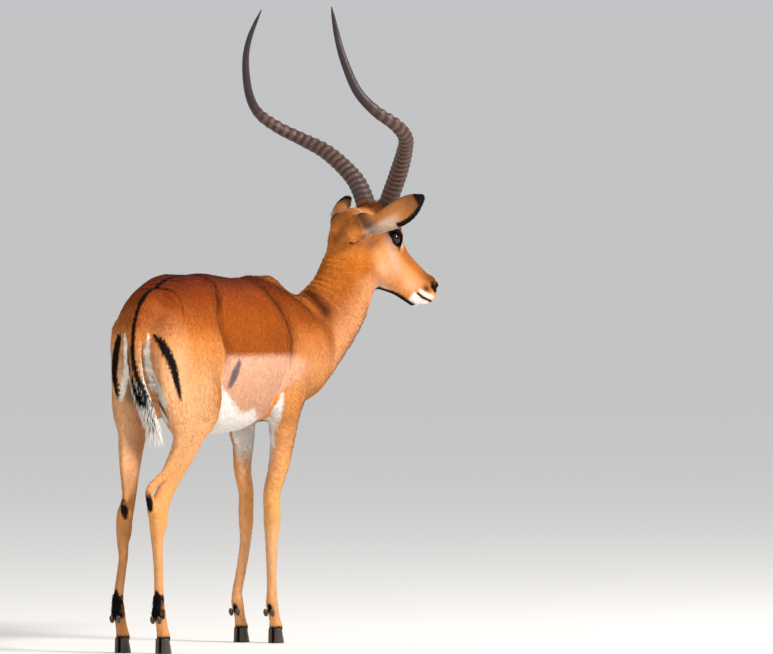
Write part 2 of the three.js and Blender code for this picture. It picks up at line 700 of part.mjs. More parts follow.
// head, with its eyes, ears and horns
const headSpace = headSolid(COAT + PARTING);
const neckSpace = neckSolid(COAT + PARTING);
let head = headSolid(COAT).intersect(regionOf(HEAD_PLANES));
for (const side of [-1, 1]) {
  const sideName = SIDE_NAMES[side];
  head = head.subtract(eyeSocket(side));
  addNode(`eye_${sideName}`, eyeGeometry(), 'eye', eyeMiddle(side).toArray());
  addSolid(`horn_${sideName}`, toSolid(hornGeometry(side)).subtract(headSpace), 'horn');
  addSolid(`ear_${sideName}`, toSolid(earGeometry(side)).subtract(headSpace).subtract(neckSpace), 'coat_tan');
}
addSolid('head', head, 'coat_tan');

addSolid('neck', neckSolid(COAT).intersect(regionOf(NECK_PLANES, -PARTING)).subtract(regionOf(HEAD_PLANES, PARTING)), 'coat_tan');

// legs and hooves
const coronetPlane = [[0, 0, CORONET_HEIGHT], [0, 0, -1]];
for (const leg of LEGS) {
  const sideName = SIDE_NAMES[leg.side];
  const jointPoint = [0, 0, JOINT_HEIGHT[leg.name]];
  const whole = legSolid(leg, COAT).intersect(regionOf([...legPlanes(leg), coronetPlane]));
  const upper = whole.intersect(behind(jointPoint, [0, 0, -1]));
  let lower = whole.intersect(behind(jointPoint, [0, 0, 1], -PARTING));
  for (const outer of [-1, 1]) lower = lower.add(dewclawSolid(leg, outer));
  addSolid(`${leg.name}_leg_${sideName}_upper`, upper, 'coat_tan');
  addSolid(`${leg.name}_leg_${sideName}_lower`, lower, 'coat_tan');
  for (const outer of [-1, 1]) {
    const claw = clawGeometry();
    if (outer < 0) claw.scale(-1, 1, 1);
    addNode(`hoof_${leg.name}_${sideName}_${outer * leg.side > 0 ? 'outer' : 'inner'}`, outward(claw), 'hoof',
      [leg.fetlock[0] + outer * CLAW_SPLIT, leg.fetlock[1] - 26, 0], radians(-4 * outer));
  }
}

// trunk
let trunk = trunkSolid(COAT).subtract(regionOf(NECK_PLANES));
for (const leg of LEGS) trunk = trunk.subtract(regionOf(legPlanes(leg), PARTING));
addSolid('trunk', trunk, 'coat_tan');

// tail
const tailEnd = TAIL_ROWS[TAIL_ROWS.length - 1];
const tailDirection = [-7, -2, -35];
const tailForm = sweep([...TAIL_ROWS, ...BRUSH_ROWS.slice(1)], 0);
const tailWhole = toSolid(wrap(picked(tailForm, 15), 8, COAT, castOut, (point) => formDistance(point, tailForm)));
const tailClear = [0, 1, 2].reduce((solid, gaps) => solid.subtract(trunkSolid(COAT + gaps * PARTING)), tailWhole);
addSolid('tail', tailClear.intersect(behind(tailEnd.slice(0, 3), tailDirection)), 'coat_tan');
addSolid('tail_brush', tailClear.intersect(behind(tailEnd.slice(0, 3), negated(tailDirection), -PARTING)), 'coat_white');

// the origin is on the floor, under the middle of the whole animal
impala.updateMatrixWorld(true);
const bounds = new THREE.Box3().setFromObject(impala, true);
const middle = bounds.getCenter(new THREE.Vector3());
impala.position.set(-middle.x, -middle.y, -bounds.min.z);

export default model;
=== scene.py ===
"""Adult male impala, life size: one skin with its coat, eyes, horns and hooves, in the CAD model's frame.

Millimetres inside the functions that make shapes, metres in Blender. The animal faces -Y, its left is +X.
The skin is the zero level of a smooth field of swept forms, meshed on a grid that is finer at the head.
"""

import math
import bpy
import numpy as np
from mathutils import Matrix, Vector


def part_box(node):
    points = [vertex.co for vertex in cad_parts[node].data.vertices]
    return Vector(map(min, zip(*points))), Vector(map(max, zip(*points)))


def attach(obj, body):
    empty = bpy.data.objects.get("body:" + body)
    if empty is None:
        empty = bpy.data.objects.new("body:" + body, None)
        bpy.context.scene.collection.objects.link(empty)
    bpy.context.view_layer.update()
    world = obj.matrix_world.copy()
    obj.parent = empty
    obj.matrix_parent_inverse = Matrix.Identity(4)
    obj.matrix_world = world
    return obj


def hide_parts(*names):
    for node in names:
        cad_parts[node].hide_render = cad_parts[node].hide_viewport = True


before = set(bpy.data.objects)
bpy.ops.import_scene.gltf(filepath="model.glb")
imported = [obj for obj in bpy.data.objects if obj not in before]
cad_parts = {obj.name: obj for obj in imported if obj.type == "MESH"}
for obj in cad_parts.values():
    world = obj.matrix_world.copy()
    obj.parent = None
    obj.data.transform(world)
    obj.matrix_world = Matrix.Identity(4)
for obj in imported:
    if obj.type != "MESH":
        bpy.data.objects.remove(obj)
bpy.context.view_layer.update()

import openvdb as vdb
from mathutils import Vector

rng = np.random.default_rng(20)

# ------------------------------------------------------------------ sizes, as in the CAD model

BACK_HEIGHT = 912.0
COAT = 4.0
CORONET_HEIGHT = 37.0
EYE_RADIUS = 19.0
EYE_PLACE = (-3.0, 33.0, 0.0)
HEAD_MIDDLE = np.array((-182.0, -695.0, 993.0))
HEAD_YAW = 28.0
HEAD_PITCH = 34.0
SPINE = BACK_HEIGHT - COAT

# ------------------------------------------------------------------ the head's own frame

yaw = math.radians(HEAD_YAW)
pitch = math.radians(HEAD_PITCH)
HEADING = np.array((-math.sin(yaw), -math.cos(yaw), 0.0))
HEAD_LEFT = np.array((math.cos(yaw), -math.sin(yaw), 0.0))
HEAD_FORWARD = HEADING * math.cos(pitch) - np.array((0.0, 0.0, math.sin(pitch)))
HEAD_UP = np.cross(HEAD_FORWARD, HEAD_LEFT)
HEAD_AXES = np.stack((HEAD_FORWARD, HEAD_LEFT, HEAD_UP))


def on_head(forward, left, up):
    """A point of the head, given forward, left and up from the point midway between the eyes."""
    return HEAD_MIDDLE + HEAD_FORWARD * forward + HEAD_LEFT * left + HEAD_UP * up


def to_head(points):
    return (points - HEAD_MIDDLE) @ HEAD_AXES.T


# the CAD model is moved so that its box stands on the origin; an eye shows by how much
eye_box = np.array(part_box("eye_left"))
SHIFT = eye_box.mean(axis=0) * 1000 - on_head(*EYE_PLACE)

# ------------------------------------------------------------------ swept forms and their field


def smooth_rows(rows, steps=4):
    """Catmull-Rom rows between the given rows."""
    rows = np.array(rows, float)
    padded = np.vstack((rows[0], rows, rows[-1], rows[-1]))
    out = []
    for i in range(len(rows) - 1):
        a, b, d, e = padded[i:i + 4]
        for s in range(steps):
            t = s / steps
            out.append(0.5 * (2 * b + (d - a) * t + (2 * a - 5 * b + 4 * d - e) * t * t
                              + (3 * b - a - 3 * d + e) * t ** 3))
    out.append(rows[-1])
    return np.array(out)


class Form:
    """A form swept along rows of [x, y, z, half width across, half depth, yaw in degrees]."""

    def __init__(self, rows, blend, steps=4):
        rows = [list(row) + [0.0] * (6 - len(row)) for row in rows]
        stations = smooth_rows(rows, steps)
        self.middle = stations[:, :3]
        self.across = stations[:, 3]
        self.deep = stations[:, 4]
        turn = np.radians(stations[:, 5])
        self.side = np.stack((np.cos(turn), -np.sin(turn), np.zeros(len(turn))), axis=1)
        self.blend = blend
        self.radius = max(self.across.max(), self.deep.max()) + 15

    def gap(self, centre):
        """How far a point is from the form's middle line."""
        return np.sqrt(((self.middle - centre) ** 2).sum(axis=1).min())

    def distance(self, points, centre, reach):
        """Roughly how far each point is outside the form, less than 0 inside. All lie within reach of the centre."""
        starts, ends = self.middle[:-1], self.middle[1:]
        along = ends - starts
        length = np.sqrt((along ** 2).sum(axis=1))
        to_centre = np.sqrt((((starts + ends) / 2 - centre) ** 2).sum(axis=1))
        kept = np.flatnonzero((to_centre - length / 2 <= to_centre.min() + 2 * reach) & (length > 1e-6))
        starts, along, square = starts[kept], along[kept], length[kept] ** 2
        toward = points @ along.T - (starts * along).sum(axis=1)
        share = np.clip(toward / square, 0, 1)
        gaps = -2 * points @ starts.T + (starts ** 2).sum(axis=1) + share * (share * square - 2 * toward)
        best = np.argmin(gaps, axis=1)
        t = share[np.arange(len(points)), best]
        offset = points - starts[best] - t[:, None] * along[best]
        station = kept[best]
        across = self.across[station] + (self.across[station + 1] - self.across[station]) * t
        deep = self.deep[station] + (self.deep[station + 1] - self.deep[station]) * t
        nearest = (offset ** 2).sum(axis=1)
        sideways = (offset * self.side[station]).sum(axis=1)
        in_plane = np.maximum(nearest - sideways * sideways, 0)
        ratio = np.sqrt((sideways / across) ** 2 + in_plane / deep ** 2)
        away = np.sqrt(nearest) * (1 - 1 / np.maximum(ratio, 0.01))
        return np.where(ratio < 0.01, -np.minimum(across, deep), away)


def head_form(rows, blend, steps=4):
    """The same for rows given in the head's frame: [forward, left, up, half width, half depth]."""
    return Form([[*on_head(*row[:3]), *row[3:5], HEAD_YAW] for row in rows], blend, steps)


def sided(side, rows):
    return [[row[0] * side, *row[1:]] for row in rows]


def smooth_min(a, b, blend):
    overlap = np.maximum(blend - np.abs(a - b), 0) / blend
    return np.minimum(a, b) - overlap * overlap * blend / 4


def smooth_max(a, b, blend):
    return -smooth_min(-a, -b, blend)


# ------------------------------------------------------------------ the animal's forms

TRUNK_ROWS = [[x, y, (top + bottom) / 2, half_width, (top - bottom) / 2] for x, y, top, bottom, half_width in [
    [0, 262, 818, 720, 40],
    [0, 235, 850, 656, 70],
    [0, 160, SPINE - 15, 598, 90],
    [0, 60, SPINE - 2, 550, 103],
    [0, -22, SPINE, 527, 112],
    [0, -100, SPINE - 6, 521, 119],
    [-3, -184, SPINE - 11, 526, 119],
    [-6, -260, SPINE - 9, 541, 109],
    [-9, -318, SPINE - 9, 553, 94],
    [-13, -390, 862, 568, 79],
    [-18, -450, 820, 590, 66],
    [-22, -492, 776, 622, 52],
]]

NECK_ROWS = [
    [-8, -408, 716, 76, 134, 2],
    [-46, -530, 750, 71, 113, 10],
    [-90, -603, 836, 61, 90, 20],
    [-115, -623, 925, 54, 74, 26],
    [-122, -618, 984, 48, 58, HEAD_YAW],
]

TAIL_ROWS = [
    [0, 205, 850, 24, 20],
    [0, 246, 846, 19, 15],
    [0, 288, 812, 17, 12],
    [0, 311, 760, 16, 12],
    [-5, 324, 705, 15.5, 12],
    [-18, 331, 655, 15.5, 11],
    [-38, 333, 610, 14.5, 10],
    [-55, 330, 565, 12, 9],
    [-60, 329, 545, 8, 7],
]


def shoulder_forms(side):
    """The shoulder blade and the upper arm."""
    blade = [[32, -328, 854, 15, 36], [60, -388, 780, 26, 54], [74, -444, 705, 30, 52], [72, -474, 655, 28, 32]]
    arm = [[66, -372, 760, 26, 60], [78, -362, 665, 30, 66], [72, -336, 600, 24, 44]]
    return [Form([[row[0] - 10, *row[1:]] for row in sided(side, rows)], 45) for rows in (blade, arm)]


def haunch_forms(side):
    """Croup, hip point and the buttock's muscles."""
    hip = [[74, 56, 866, 14, 16], [82, 60, 850, 16, 20]]
    croup = [[50, 78, 830, 32, 42], [53, 158, 768, 42, 60], [46, 224, 738, 35, 42]]
    thigh = [[57, 158, 763, 46, 88], [72, 145, 670, 42, 90], [82, 120, 595, 33, 62], [82, 112, 572, 26, 36]]
    buttock = [[53, 246, 764, 32, 40], [58, 244, 664, 28, 50], [64, 227, 586, 21, 38]]
    rump = [[40, 72, 868, 30, 28], [42, 116, 862, 30, 28], [30, 186, 836, 26, 28]]
    return [Form(sided(side, rows), blend)
            for rows, blend in ((hip, 40), (croup, 44), (thigh, 40), (buttock, 30), (rump, 40))]


def fore_leg_forms(side, elbow, bend, fetlock, girth):
    """A fore leg from the elbow to the coronet. Girth is how thick this leg is beside the usual."""
    ex, ey = elbow
    bx, by = bend
    fx, fy = fetlock
    rows = [
        [ex, ey - 12, 590, 25 * girth, 50 * girth],
        [ex + (bx - ex) * 0.25, ey - 9, 520, 23.5 * girth, 38 * girth],
        [ex + (bx - ex) * 0.55, ey + 5, 430, 20 * girth, 28 * girth],
        [bx, by, 372, 18 * girth, 23 * girth],
        [bx, by, 325, 18.5 * girth, 21 * girth],
        [bx, by, 295, 18 * girth, 20 * girth],
        [bx, by + 3, 250, 13.5 * girth, 16 * girth],
        [(bx + fx) / 2, (by + fy) / 2 + 2, 180, 11.5, 13],
        [fx, fy + 1, 126, 11.5, 13],
        [fx, fy, 97, 14, 16],
        [fx, fy - 13, 64, 12.5, 13.5],
        [fx, fy - 22, CORONET_HEIGHT, 16, 17],
    ]
    elbow_rows = [[ex, ey + 36, 592, 14, 17], [ex + (bx - ex) * 0.2, ey + 19, 520, 14, 18]]
    return [Form(rows, 12), Form(elbow_rows, 30)]


def hind_leg_forms(side, shank, bend, heel, fetlock, drop, girth):
    """A hind leg from the stifle to the coronet. The heel is the point of the hock, and drop how much lower the hock is."""
    knee, calf, gaskin = shank
    bx, by = bend
    hx, hy = heel
    fx, fy = fetlock
    rows = [
        [*knee, 602, 30, 56],
        [*calf, 512, 25, 40],
        [*gaskin, 436, 17, 31 * girth],
        [bx * 0.8 + gaskin[0] * 0.2, by * 0.45 + gaskin[1] * 0.55, 388 - drop, 15 * girth, 26 * girth],
        [bx, by - 4, 345 - drop, 17 * girth, 31 * girth],
        [bx, by, 310 - drop, 17.5 * girth, 27 * girth],
        [bx, by + 5, 284 - drop, 14 * girth, 18.5 * girth],
        [bx, by + 3, 250 - drop, 11 * girth, 14.5 * girth],
        [(bx + fx) / 2, (by + fy) / 2, 190, 10, 12.5 * girth],
        [fx, fy + 1, 132, 11, 13],
        [fx, fy, 104, 14, 17],
        [fx, fy - 14, 68, 12.5, 14],
        [fx, fy - 24, CORONET_HEIGHT, 16, 17],
    ]
    tendon = [
        [side * 66, 228, 596, 18, 32],
        [calf[0] - side * 2, calf[1] + 44, 506, 12, 18],
        [gaskin[0], gaskin[1] + 37, 440, 7, 11],
        [hx, hy - 6, 398 - drop, 8, 11],
        [hx, hy, 374 - drop, 9, 12],
        [hx, hy - 13, 346 - drop, 9, 11],
    ]
    return [Form(rows, 12), Form(tendon, 22)]


LEGS = [
    ("fore", 1, dict(elbow=(54, -360), bend=(41, -363), fetlock=(52, -338), girth=0.94)),
    ("fore", -1, dict(elbow=(-70, -354), bend=(-42, -340), fetlock=(-45, -334), girth=1.07)),
    ("hind", 1, dict(shank=((82, 128), (63, 200), (47, 240)), bend=(40, 290), heel=(25, 313), fetlock=(57, 286),
                     drop=20, girth=0.9)),
    ("hind", -1, dict(shank=((-86, 122), (-78, 178), (-64, 227)), bend=(-50, 286), heel=(-50, 329),
                      fetlock=(-55, 291), drop=0, girth=1.05)),
]


def head_forms():
    """Skull, muzzle, jaw, cheeks, brows and the horns' and ears' roots."""
    forms = [
        head_form([[-104, 0, -18, 38, 33], [-60, 0, -2, 45, 44], [-10, 0, -2, 40, 38], [30, 0, -14, 32, 30]], 20),
        head_form([[0, 0, -36, 38, 54], [50, 0, -38, 32, 49], [100, 0, -40, 25, 44], [145, 0, -40, 20, 40],
                   [172, 0, -38, 18, 33]], 20),
        head_form([[-12, 0, -86, 29, 32], [45, 0, -90, 18, 24], [100, 0, -83, 11, 14], [156, 0, -77, 12, 13]], 26),
        head_form([[170, 0, -14, 15, 14], [173, 0, -42, 17, 16]], 16),
    ]
    for side in (-1, 1):
        forms += [
            head_form([[-8, side * 24, -52, 14, 38], [45, side * 19, -62, 13, 32]], 26),
            head_form([[-6, side * 32, 0, 18, 22], [2, side * 32, -2, 17, 21]], 18),
            head_form([[-18, side * 32, 18, 10, 9], [10, side * 31, 16, 9, 9]], 16),
            head_form([[-52, side * 26, 8, 23, 23], [-64, side * 32, 38, 23, 23]], 16),
            head_form([[-110, side * 34, -30, 20, 24], [-114, side * 52, -22, 18, 19]], 22),
        ]
    return forms


TAIL_HEAD_ROWS = [[0, 222, 828, 36, 28], [0, 260, 806, 30, 26], [0, 282, 768, 22, 20]]

BODY_FORMS = (
    [Form(TRUNK_ROWS, 10), Form(TAIL_HEAD_ROWS, 30)]
    + [form for side in (-1, 1) for form in haunch_forms(side)]
    + [form for side in (-1, 1) for form in shoulder_forms(side)]
    + [Form([[-18, -472, 646, 38, 38], [-34, -514, 698, 42, 50]], 50), Form(NECK_ROWS, 70)]
    + head_forms()
    + [Form(TAIL_ROWS, 16)]
)
LEG_FORMS = [(fore_leg_forms if name == "fore" else hind_leg_forms)(side, **joints) for name, side, joints in LEGS]

# ------------------------------------------------------------------ lids, nostrils, mouth, ears, folds


def tube_distance(points, line, radius):
    """How far each point is outside a round tube along a polyline."""
    best = np.full(len(points), np.inf)
    for a, b in zip(line[:-1], line[1:]):
        along = b - a
        t = np.clip((points - a) @ along / (along @ along), 0, 1)
        best = np.minimum(best, ((points - a - t[:, None] * along) ** 2).sum(axis=1))
    return np.sqrt(best) - radius


LID_LENGTH = 21.0
LID_RISE = 12.5
LID_FALL = 12.0


def lid_curve(count=28):
    """The rim of the lids on the eyeball: forward, outward and up from its middle. The front corner dips."""
    turn = np.linspace(0, 2 * np.pi, count)
    forward = LID_LENGTH * np.cos(turn)
    rise = np.where(np.sin(turn) > 0, LID_RISE, LID_FALL) * np.sin(turn)
    up = rise - 4.0 * np.cos(turn)
    ball = EYE_RADIUS + 1.2
    outward = np.sqrt(np.maximum(ball ** 2 - np.minimum(forward ** 2 + up ** 2, ball ** 2 - 49), 0))
    return np.stack((forward, outward, up), axis=1)


LID_CURVE = lid_curve()


def almond_distance(forward, up):
    """How far outside the opening between the lids, measured in the side view."""
    up = up + 4.0 * forward / LID_LENGTH
    half = np.where(up > 0, LID_RISE, LID_FALL)
    ratio = np.sqrt((forward / LID_LENGTH) ** 2 + (up / half) ** 2)
    return np.sqrt(forward ** 2 + up ** 2) * (1 - 1 / np.maximum(ratio, 0.05))


MOUTH_LINE = [(143, 20.5, -65), (154, 19, -64), (166, 17.5, -63), (180, 15.5, -59), (191, 9, -55), (195, 0, -53)]
NOSTRIL = (178.0, 18.0, -19.0)


def face_details(distance, points):
    """Cuts the eyes, nostrils and mouth into the head's field and raises the lids and lips."""
    place = to_head(points)
    near = place[:, 0] > -60
    if not near.any():
        return distance
    out = distance.copy()
    d = distance[near]
    forward, left, up = place[near].T
    outward = np.abs(left)
    eye = np.stack((forward - EYE_PLACE[0], outward - EYE_PLACE[1], up - EYE_PLACE[2]), axis=1)
    by_eye = (eye ** 2).sum(axis=1) < 45 ** 2
    if by_eye.any():
        e = eye[by_eye]
        ball = np.sqrt((e ** 2).sum(axis=1)) - EYE_RADIUS - 0.4
        almond = almond_distance(e[:, 0], e[:, 2])
        hole = np.maximum(almond, 5 - e[:, 1])
        lids = tube_distance(e, LID_CURVE, 2.1)
        fold = LID_CURVE[2:13] * (0.92, 1, 1) + (-1, 0.5, 5.5)
        brow = tube_distance(e, fold, 2.2)
        skin = smooth_min(d[by_eye], brow, 7)
        skin = np.maximum(skin, -hole)
        skin = smooth_min(skin, lids, 4)
        d[by_eye] = np.maximum(skin, -ball)
    nose = np.stack((forward - NOSTRIL[0], outward - NOSTRIL[1], up - NOSTRIL[2]), axis=1)
    by_nose = (nose ** 2).sum(axis=1) < 30 ** 2
    if by_nose.any():
        n = nose[by_nose]
        slit = (n[:, 0] * 0.85 - n[:, 2] * 0.35, n[:, 1], n[:, 2] * 0.85 + n[:, 0] * 0.35)
        pit = (np.sqrt((slit[0] / 12) ** 2 + (slit[1] / 4.6) ** 2 + (slit[2] / 7.5) ** 2) - 1) * 5
        wing = np.sqrt(((n - (-2, 3, 1)) ** 2).sum(axis=1)) - 9
        skin = smooth_min(d[by_nose], wing, 8)
        d[by_nose] = smooth_max(skin, -pit, 3)
    by_mouth = (forward > 130) & (np.abs(up + 57) < 20)
    if by_mouth.any():
        m = np.stack((forward, outward, up), axis=1)[by_mouth]
        cleft = tube_distance(m, np.array(MOUTH_LINE, float), 1.0)
        lip = tube_distance(m, np.array(MOUTH_LINE, float) + (-2, -1.5, 5), 4.5)
        skin = smooth_min(d[by_mouth], lip, 8)
        d[by_mouth] = smooth_max(skin, -cleft, 3)
    out[near] = d
    return out


EAR_LENGTH = 184.0
EAR_WALL = 5.4
EAR_AXIS = {1: (0.15, 0.65, 0.745), -1: (0.254, 0.55, 0.786)}
EAR_OPENING = {1: (0.95, 0.1, 0.1), -1: (0.8, -0.6, 0.1)}
EAR_SUNK = 0.14
EAR_ROWS = np.array([
    [0, 17, 15, 0],
    [0.12, 19, 17, 0],
    [0.26, 24, 21, 0.8],
    [0.42, 30, 23, 1],
    [0.58, 34.5, 21, 1],
    [0.74, 33, 17, 1],
    [0.87, 24, 12, 1],
    [0.96, 12, 7, 0.8],
    [1, 6, 4, 0],
])
EAR_SHARE_OF_WIDTH = {1: 0.82, -1: 1.0}
EAR_SAG = {1: 0, -1: 11}
EAR_ROOT_SIDE = {1: 40, -1: 44}


def ear_frame(side):
    """The ear's root and its axes: along it, out of its opening, and across."""
    def in_head(forward, left, up):
        vector = HEAD_FORWARD * forward + HEAD_LEFT * left * side + HEAD_UP * up
        return vector / np.linalg.norm(vector)
    axis = in_head(*EAR_AXIS[side])
    opening = in_head(*EAR_OPENING[side])
    opening = opening - axis * (opening @ axis)
    opening /= np.linalg.norm(opening)
    return on_head(-106, side * EAR_ROOT_SIDE[side], -52), axis, opening, np.cross(axis, opening)


EAR_FRAMES = {side: ear_frame(side) for side in (-1, 1)}
EAR_SMOOTH = smooth_rows(EAR_ROWS, 6)


def ear_place(points, side):
    """Points in an ear's own measure: share of its length, across, and out of the opening."""
    root, axis, opening, wide = EAR_FRAMES[side]
    offset = points - root
    along = offset @ axis / EAR_LENGTH
    share = np.clip(along, 0, 1)
    return along, offset @ wide - side * EAR_SAG[side] * np.sin(np.pi * share), offset @ opening - 14 * share ** 2


def ear_distance(points, side):
    """A cupped ear: an outer half tube less an inner one, narrowing to a blunt tip."""
    along, across, out = ear_place(points, side)
    share = np.clip(along, 0, 1)
    half_width = np.interp(share, EAR_SMOOTH[:, 0], EAR_SMOOTH[:, 1]) * EAR_SHARE_OF_WIDTH[side]
    depth = np.interp(share, EAR_SMOOTH[:, 0], EAR_SMOOTH[:, 2])
    hollow = np.interp(share, EAR_SMOOTH[:, 0], EAR_SMOOTH[:, 3])

    def tube(width, deep):
        ratio = np.sqrt((across / width) ** 2 + (out / deep) ** 2)
        return np.sqrt(across ** 2 + out ** 2) * (1 - 1 / np.maximum(ratio, 0.05))
    shell = tube(half_width, depth)
    cup = tube(np.maximum(half_width - EAR_WALL, 1), np.maximum(depth - EAR_WALL, 1))
    shell = np.maximum(shell, -(cup + (1 - hollow) * 40))
    shell = smooth_max(shell, out - 1.5, 2)
    ends = np.maximum(along - 1, -EAR_SUNK - along) * EAR_LENGTH
    return smooth_max(shell, ends, 4)


# lines where the skin folds, on the right side: the haunch's front edge, behind and before the shoulder
FOLDS = [
    ([(-55, 39, 888), (-95, 68, 854), (-108, 61, 809), (-114, 46, 754), (-115, 31, 720), (-114, 34, 674),
      (-112, 48, 635), (-112, 80, 585)], 5.0, 13),
    ([(-45, -249, 890), (-75, -265, 850), (-88, -294, 816), (-93, -306, 786), (-98, -319, 747), (-102, -304, 698),
      (-100, -286, 634), (-95, -254, 602)], 4.5, 12),
    ([(-40, -303, 890), (-62, -392, 860), (-78, -446, 825), (-88, -481, 786), (-92, -506, 741), (-90, -522, 697)],
     4.0, 12),
]
# both sides fold alike, and how far out a point lies counts for less than how far along and up
FLATTEN = np.array((0.35, 1, 1))
FOLD_LINES = [(np.abs(line) * (FLATTEN[0], 0, 0) + np.array(line, float) * (0, 1, 1), depth, width)
              for line, depth, width in FOLDS]


def flattened(points):
    return np.stack((np.abs(points[:, 0]), points[:, 1], points[:, 2]), axis=1) * FLATTEN


def fold_depth(points):
    """How much each point's skin is drawn in by the folds."""
    depth = np.zeros(len(points))
    flat = flattened(points)
    for line, most, width in FOLD_LINES:
        centre = line.mean(axis=0)
        reach = np.linalg.norm(line - centre, axis=1).max() + 3 * width
        near = ((flat - centre) ** 2).sum(axis=1) < reach ** 2
        if near.any():
            gap = tube_distance(flat[near], line, 0)
            depth[near] += most * np.exp(-(gap / width) ** 2)
    return depth


def skin_distance(points):
    """How far each point is outside the skin. The points are worked through in cells, with the forms near each."""
    out = np.empty(len(points))
    cell = 60.0
    keys = np.floor(points / cell).astype(np.int64)
    code = (keys[:, 0] + 512) * 1048576 + (keys[:, 1] + 512) * 1024 + keys[:, 2] + 512
    order = np.argsort(code, kind="stable")
    starts = np.flatnonzero(np.r_[True, np.diff(code[order]) != 0])
    for start, stop in zip(starts, np.r_[starts[1:], len(order)]):
        chosen = order[start:stop]
        out[chosen] = cell_distance(points[chosen])
    return out


def cell_distance(points):
    centre = (points.min(axis=0) + points.max(axis=0)) / 2
    reach = np.linalg.norm(points.max(axis=0) - centre) + 1
    ranked = [(form.gap(centre) - form.radius - reach, form) for form in BODY_FORMS]
    closest = min(bound for bound, _ in ranked)
    leg_bounds = [forms[0].gap(centre) - forms[0].radius - reach for forms in LEG_FORMS]
    by_head = np.linalg.norm(centre - HEAD_MIDDLE) - reach < 330
    if min(closest, *leg_bounds) > 60 and not by_head:
        return np.full(len(points), 60.0)
    body = np.full(len(points), 1e4)
    for bound, form in ranked:
        if bound < max(closest + 40, 60):
            body = smooth_min(body, form.distance(points, centre, reach), form.blend)
    distance = body
    for bound, forms in zip(leg_bounds, LEG_FORMS):
        if bound < 60:
            leg = np.full(len(points), 1e4)
            for form in forms:
                leg = smooth_min(leg, form.distance(points, centre, reach), form.blend)
            distance = np.minimum(distance, smooth_min(body, leg, 40))
    if by_head:
        distance = face_details(distance, points)
        for side in (-1, 1):
            distance = smooth_min(distance, ear_distance(points, side), 18)
    return distance + fold_depth(points)


# ------------------------------------------------------------------ the skin's mesh


def grid_axis(low, high, fine_from, fine_to, fine, coarse):
    """Positions along an axis, closely spaced between two of them and widening away from there."""
    places = [low]
    while places[-1] < high:
        gap = max(fine_from - places[-1], places[-1] - fine_to, 0)
        places.append(places[-1] + fine + (coarse - fine) * min(gap / 60, 1))
    return np.array(places)


FINE, COARSE = ((2.4, 6.3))
BLOCK = 4


def sampled_field():
    """The field on the grid, worked out only in the blocks that the skin passes through."""
    axes = [
        grid_axis(-375, 150, -350, -105, FINE, COARSE * 0.9),
        grid_axis(-905, 365, -900, -620, FINE, COARSE),
        grid_axis(28, 1160, 860, 1150, FINE, COARSE),
    ]
    axes = [axis[:(len(axis) - 1) // BLOCK * BLOCK + 1] for axis in axes]
    shape = [len(axis) for axis in axes]
    coarse_axes = [axis[::BLOCK] for axis in axes]
    corners = np.stack(np.meshgrid(*coarse_axes, indexing="ij"), axis=-1).reshape(-1, 3)
    coarse_shape = [len(axis) for axis in coarse_axes]
    size = [np.diff(axis, append=axis[-1] + axis[-1] - axis[-2]) for axis in coarse_axes]
    diagonal = np.sqrt(sum(s ** 2 for s in np.meshgrid(*size, indexing="ij"))).reshape(-1)
    centres = corners + np.stack(np.meshgrid(*size, indexing="ij"), axis=-1).reshape(-1, 3) / 2
    rough = skin_distance(centres)
    values = np.repeat(np.repeat(np.repeat(rough.reshape(coarse_shape), BLOCK, 0), BLOCK, 1), BLOCK, 2)
    values = values[:shape[0], :shape[1], :shape[2]].astype(np.float32)
    chosen = (np.abs(rough) < diagonal * 0.85 + 3).reshape(coarse_shape)
    mask = np.repeat(np.repeat(np.repeat(chosen, BLOCK, 0), BLOCK, 1), BLOCK, 2)[:shape[0], :shape[1], :shape[2]]
    for axis in range(3):
        mask |= np.roll(mask, 1, axis)
    index = np.argwhere(mask)
    points = np.stack([axes[k][index[:, k]] for k in range(3)], axis=1)
    values[tuple(index.T)] = skin_distance(points)
    return axes, values


def skin_gradient(points, here):
    """The field's slope at each point."""
    step = 0.35
    slope = np.empty_like(points)
    for axis in range(3):
        moved = points.copy()
        moved[:, axis] += step
        slope[:, axis] = (skin_distance(moved) - here) / step
    return slope


def skin_arrays():
    axes, values = sampled_field()
    grid = vdb.FloatGrid()
    grid.copyFromArray(values)
    places, quads = grid.convertToQuads(isovalue=0.0)
    points = np.stack([np.interp(places[:, k], np.arange(len(axes[k])), axes[k]) for k in range(3)], axis=1)
    here = skin_distance(points)
    slope = skin_gradient(points, here)
    slope /= np.maximum((slope ** 2).sum(axis=1), 0.3)[:, None]
    points -= slope * np.clip(here, -2, 2)[:, None]
    points -= slope * np.clip(skin_distance(points), -1, 1)[:, None]
    return points, quads


# ------------------------------------------------------------------ regions, lie of the coat, unwrap

EAR_REGION = {1: 1, -1: 2}
HEAD_REGION, BODY_REGION, TAIL_REGION = 0, 3, 4
TAIL_LINE = smooth_rows(np.array(TAIL_ROWS, float))


def step(value, low, high):
    """0 below low, 1 above high, smooth between."""
    t = np.clip((value - low) / (high - low), 0, 1)
    return t * t * (3 - 2 * t)


def tapered_distance(points, rows):
    """How far each point is outside a stripe of rows [x, y, z, radius]."""
    rows = np.array(rows, float)
    best = np.full(len(points), np.inf)
    for a, b in zip(rows[:-1], rows[1:]):
        along = b[:3] - a[:3]
        t = np.clip((points - a[:3]) @ along / (along @ along), 0, 1)
        gap = np.sqrt(((points - a[:3] - t[:, None] * along) ** 2).sum(axis=1)) - a[3] - (b[3] - a[3]) * t
        best = np.minimum(best, gap)
    return best


def flat_stripe(across, height, rows):
    """How far outside a stripe of rows [across, height, radius] in a plane."""
    flat = np.stack((across, 0 * across, height), axis=1)
    return tapered_distance(flat, [(u, 0, z, radius) for u, z, radius in rows])


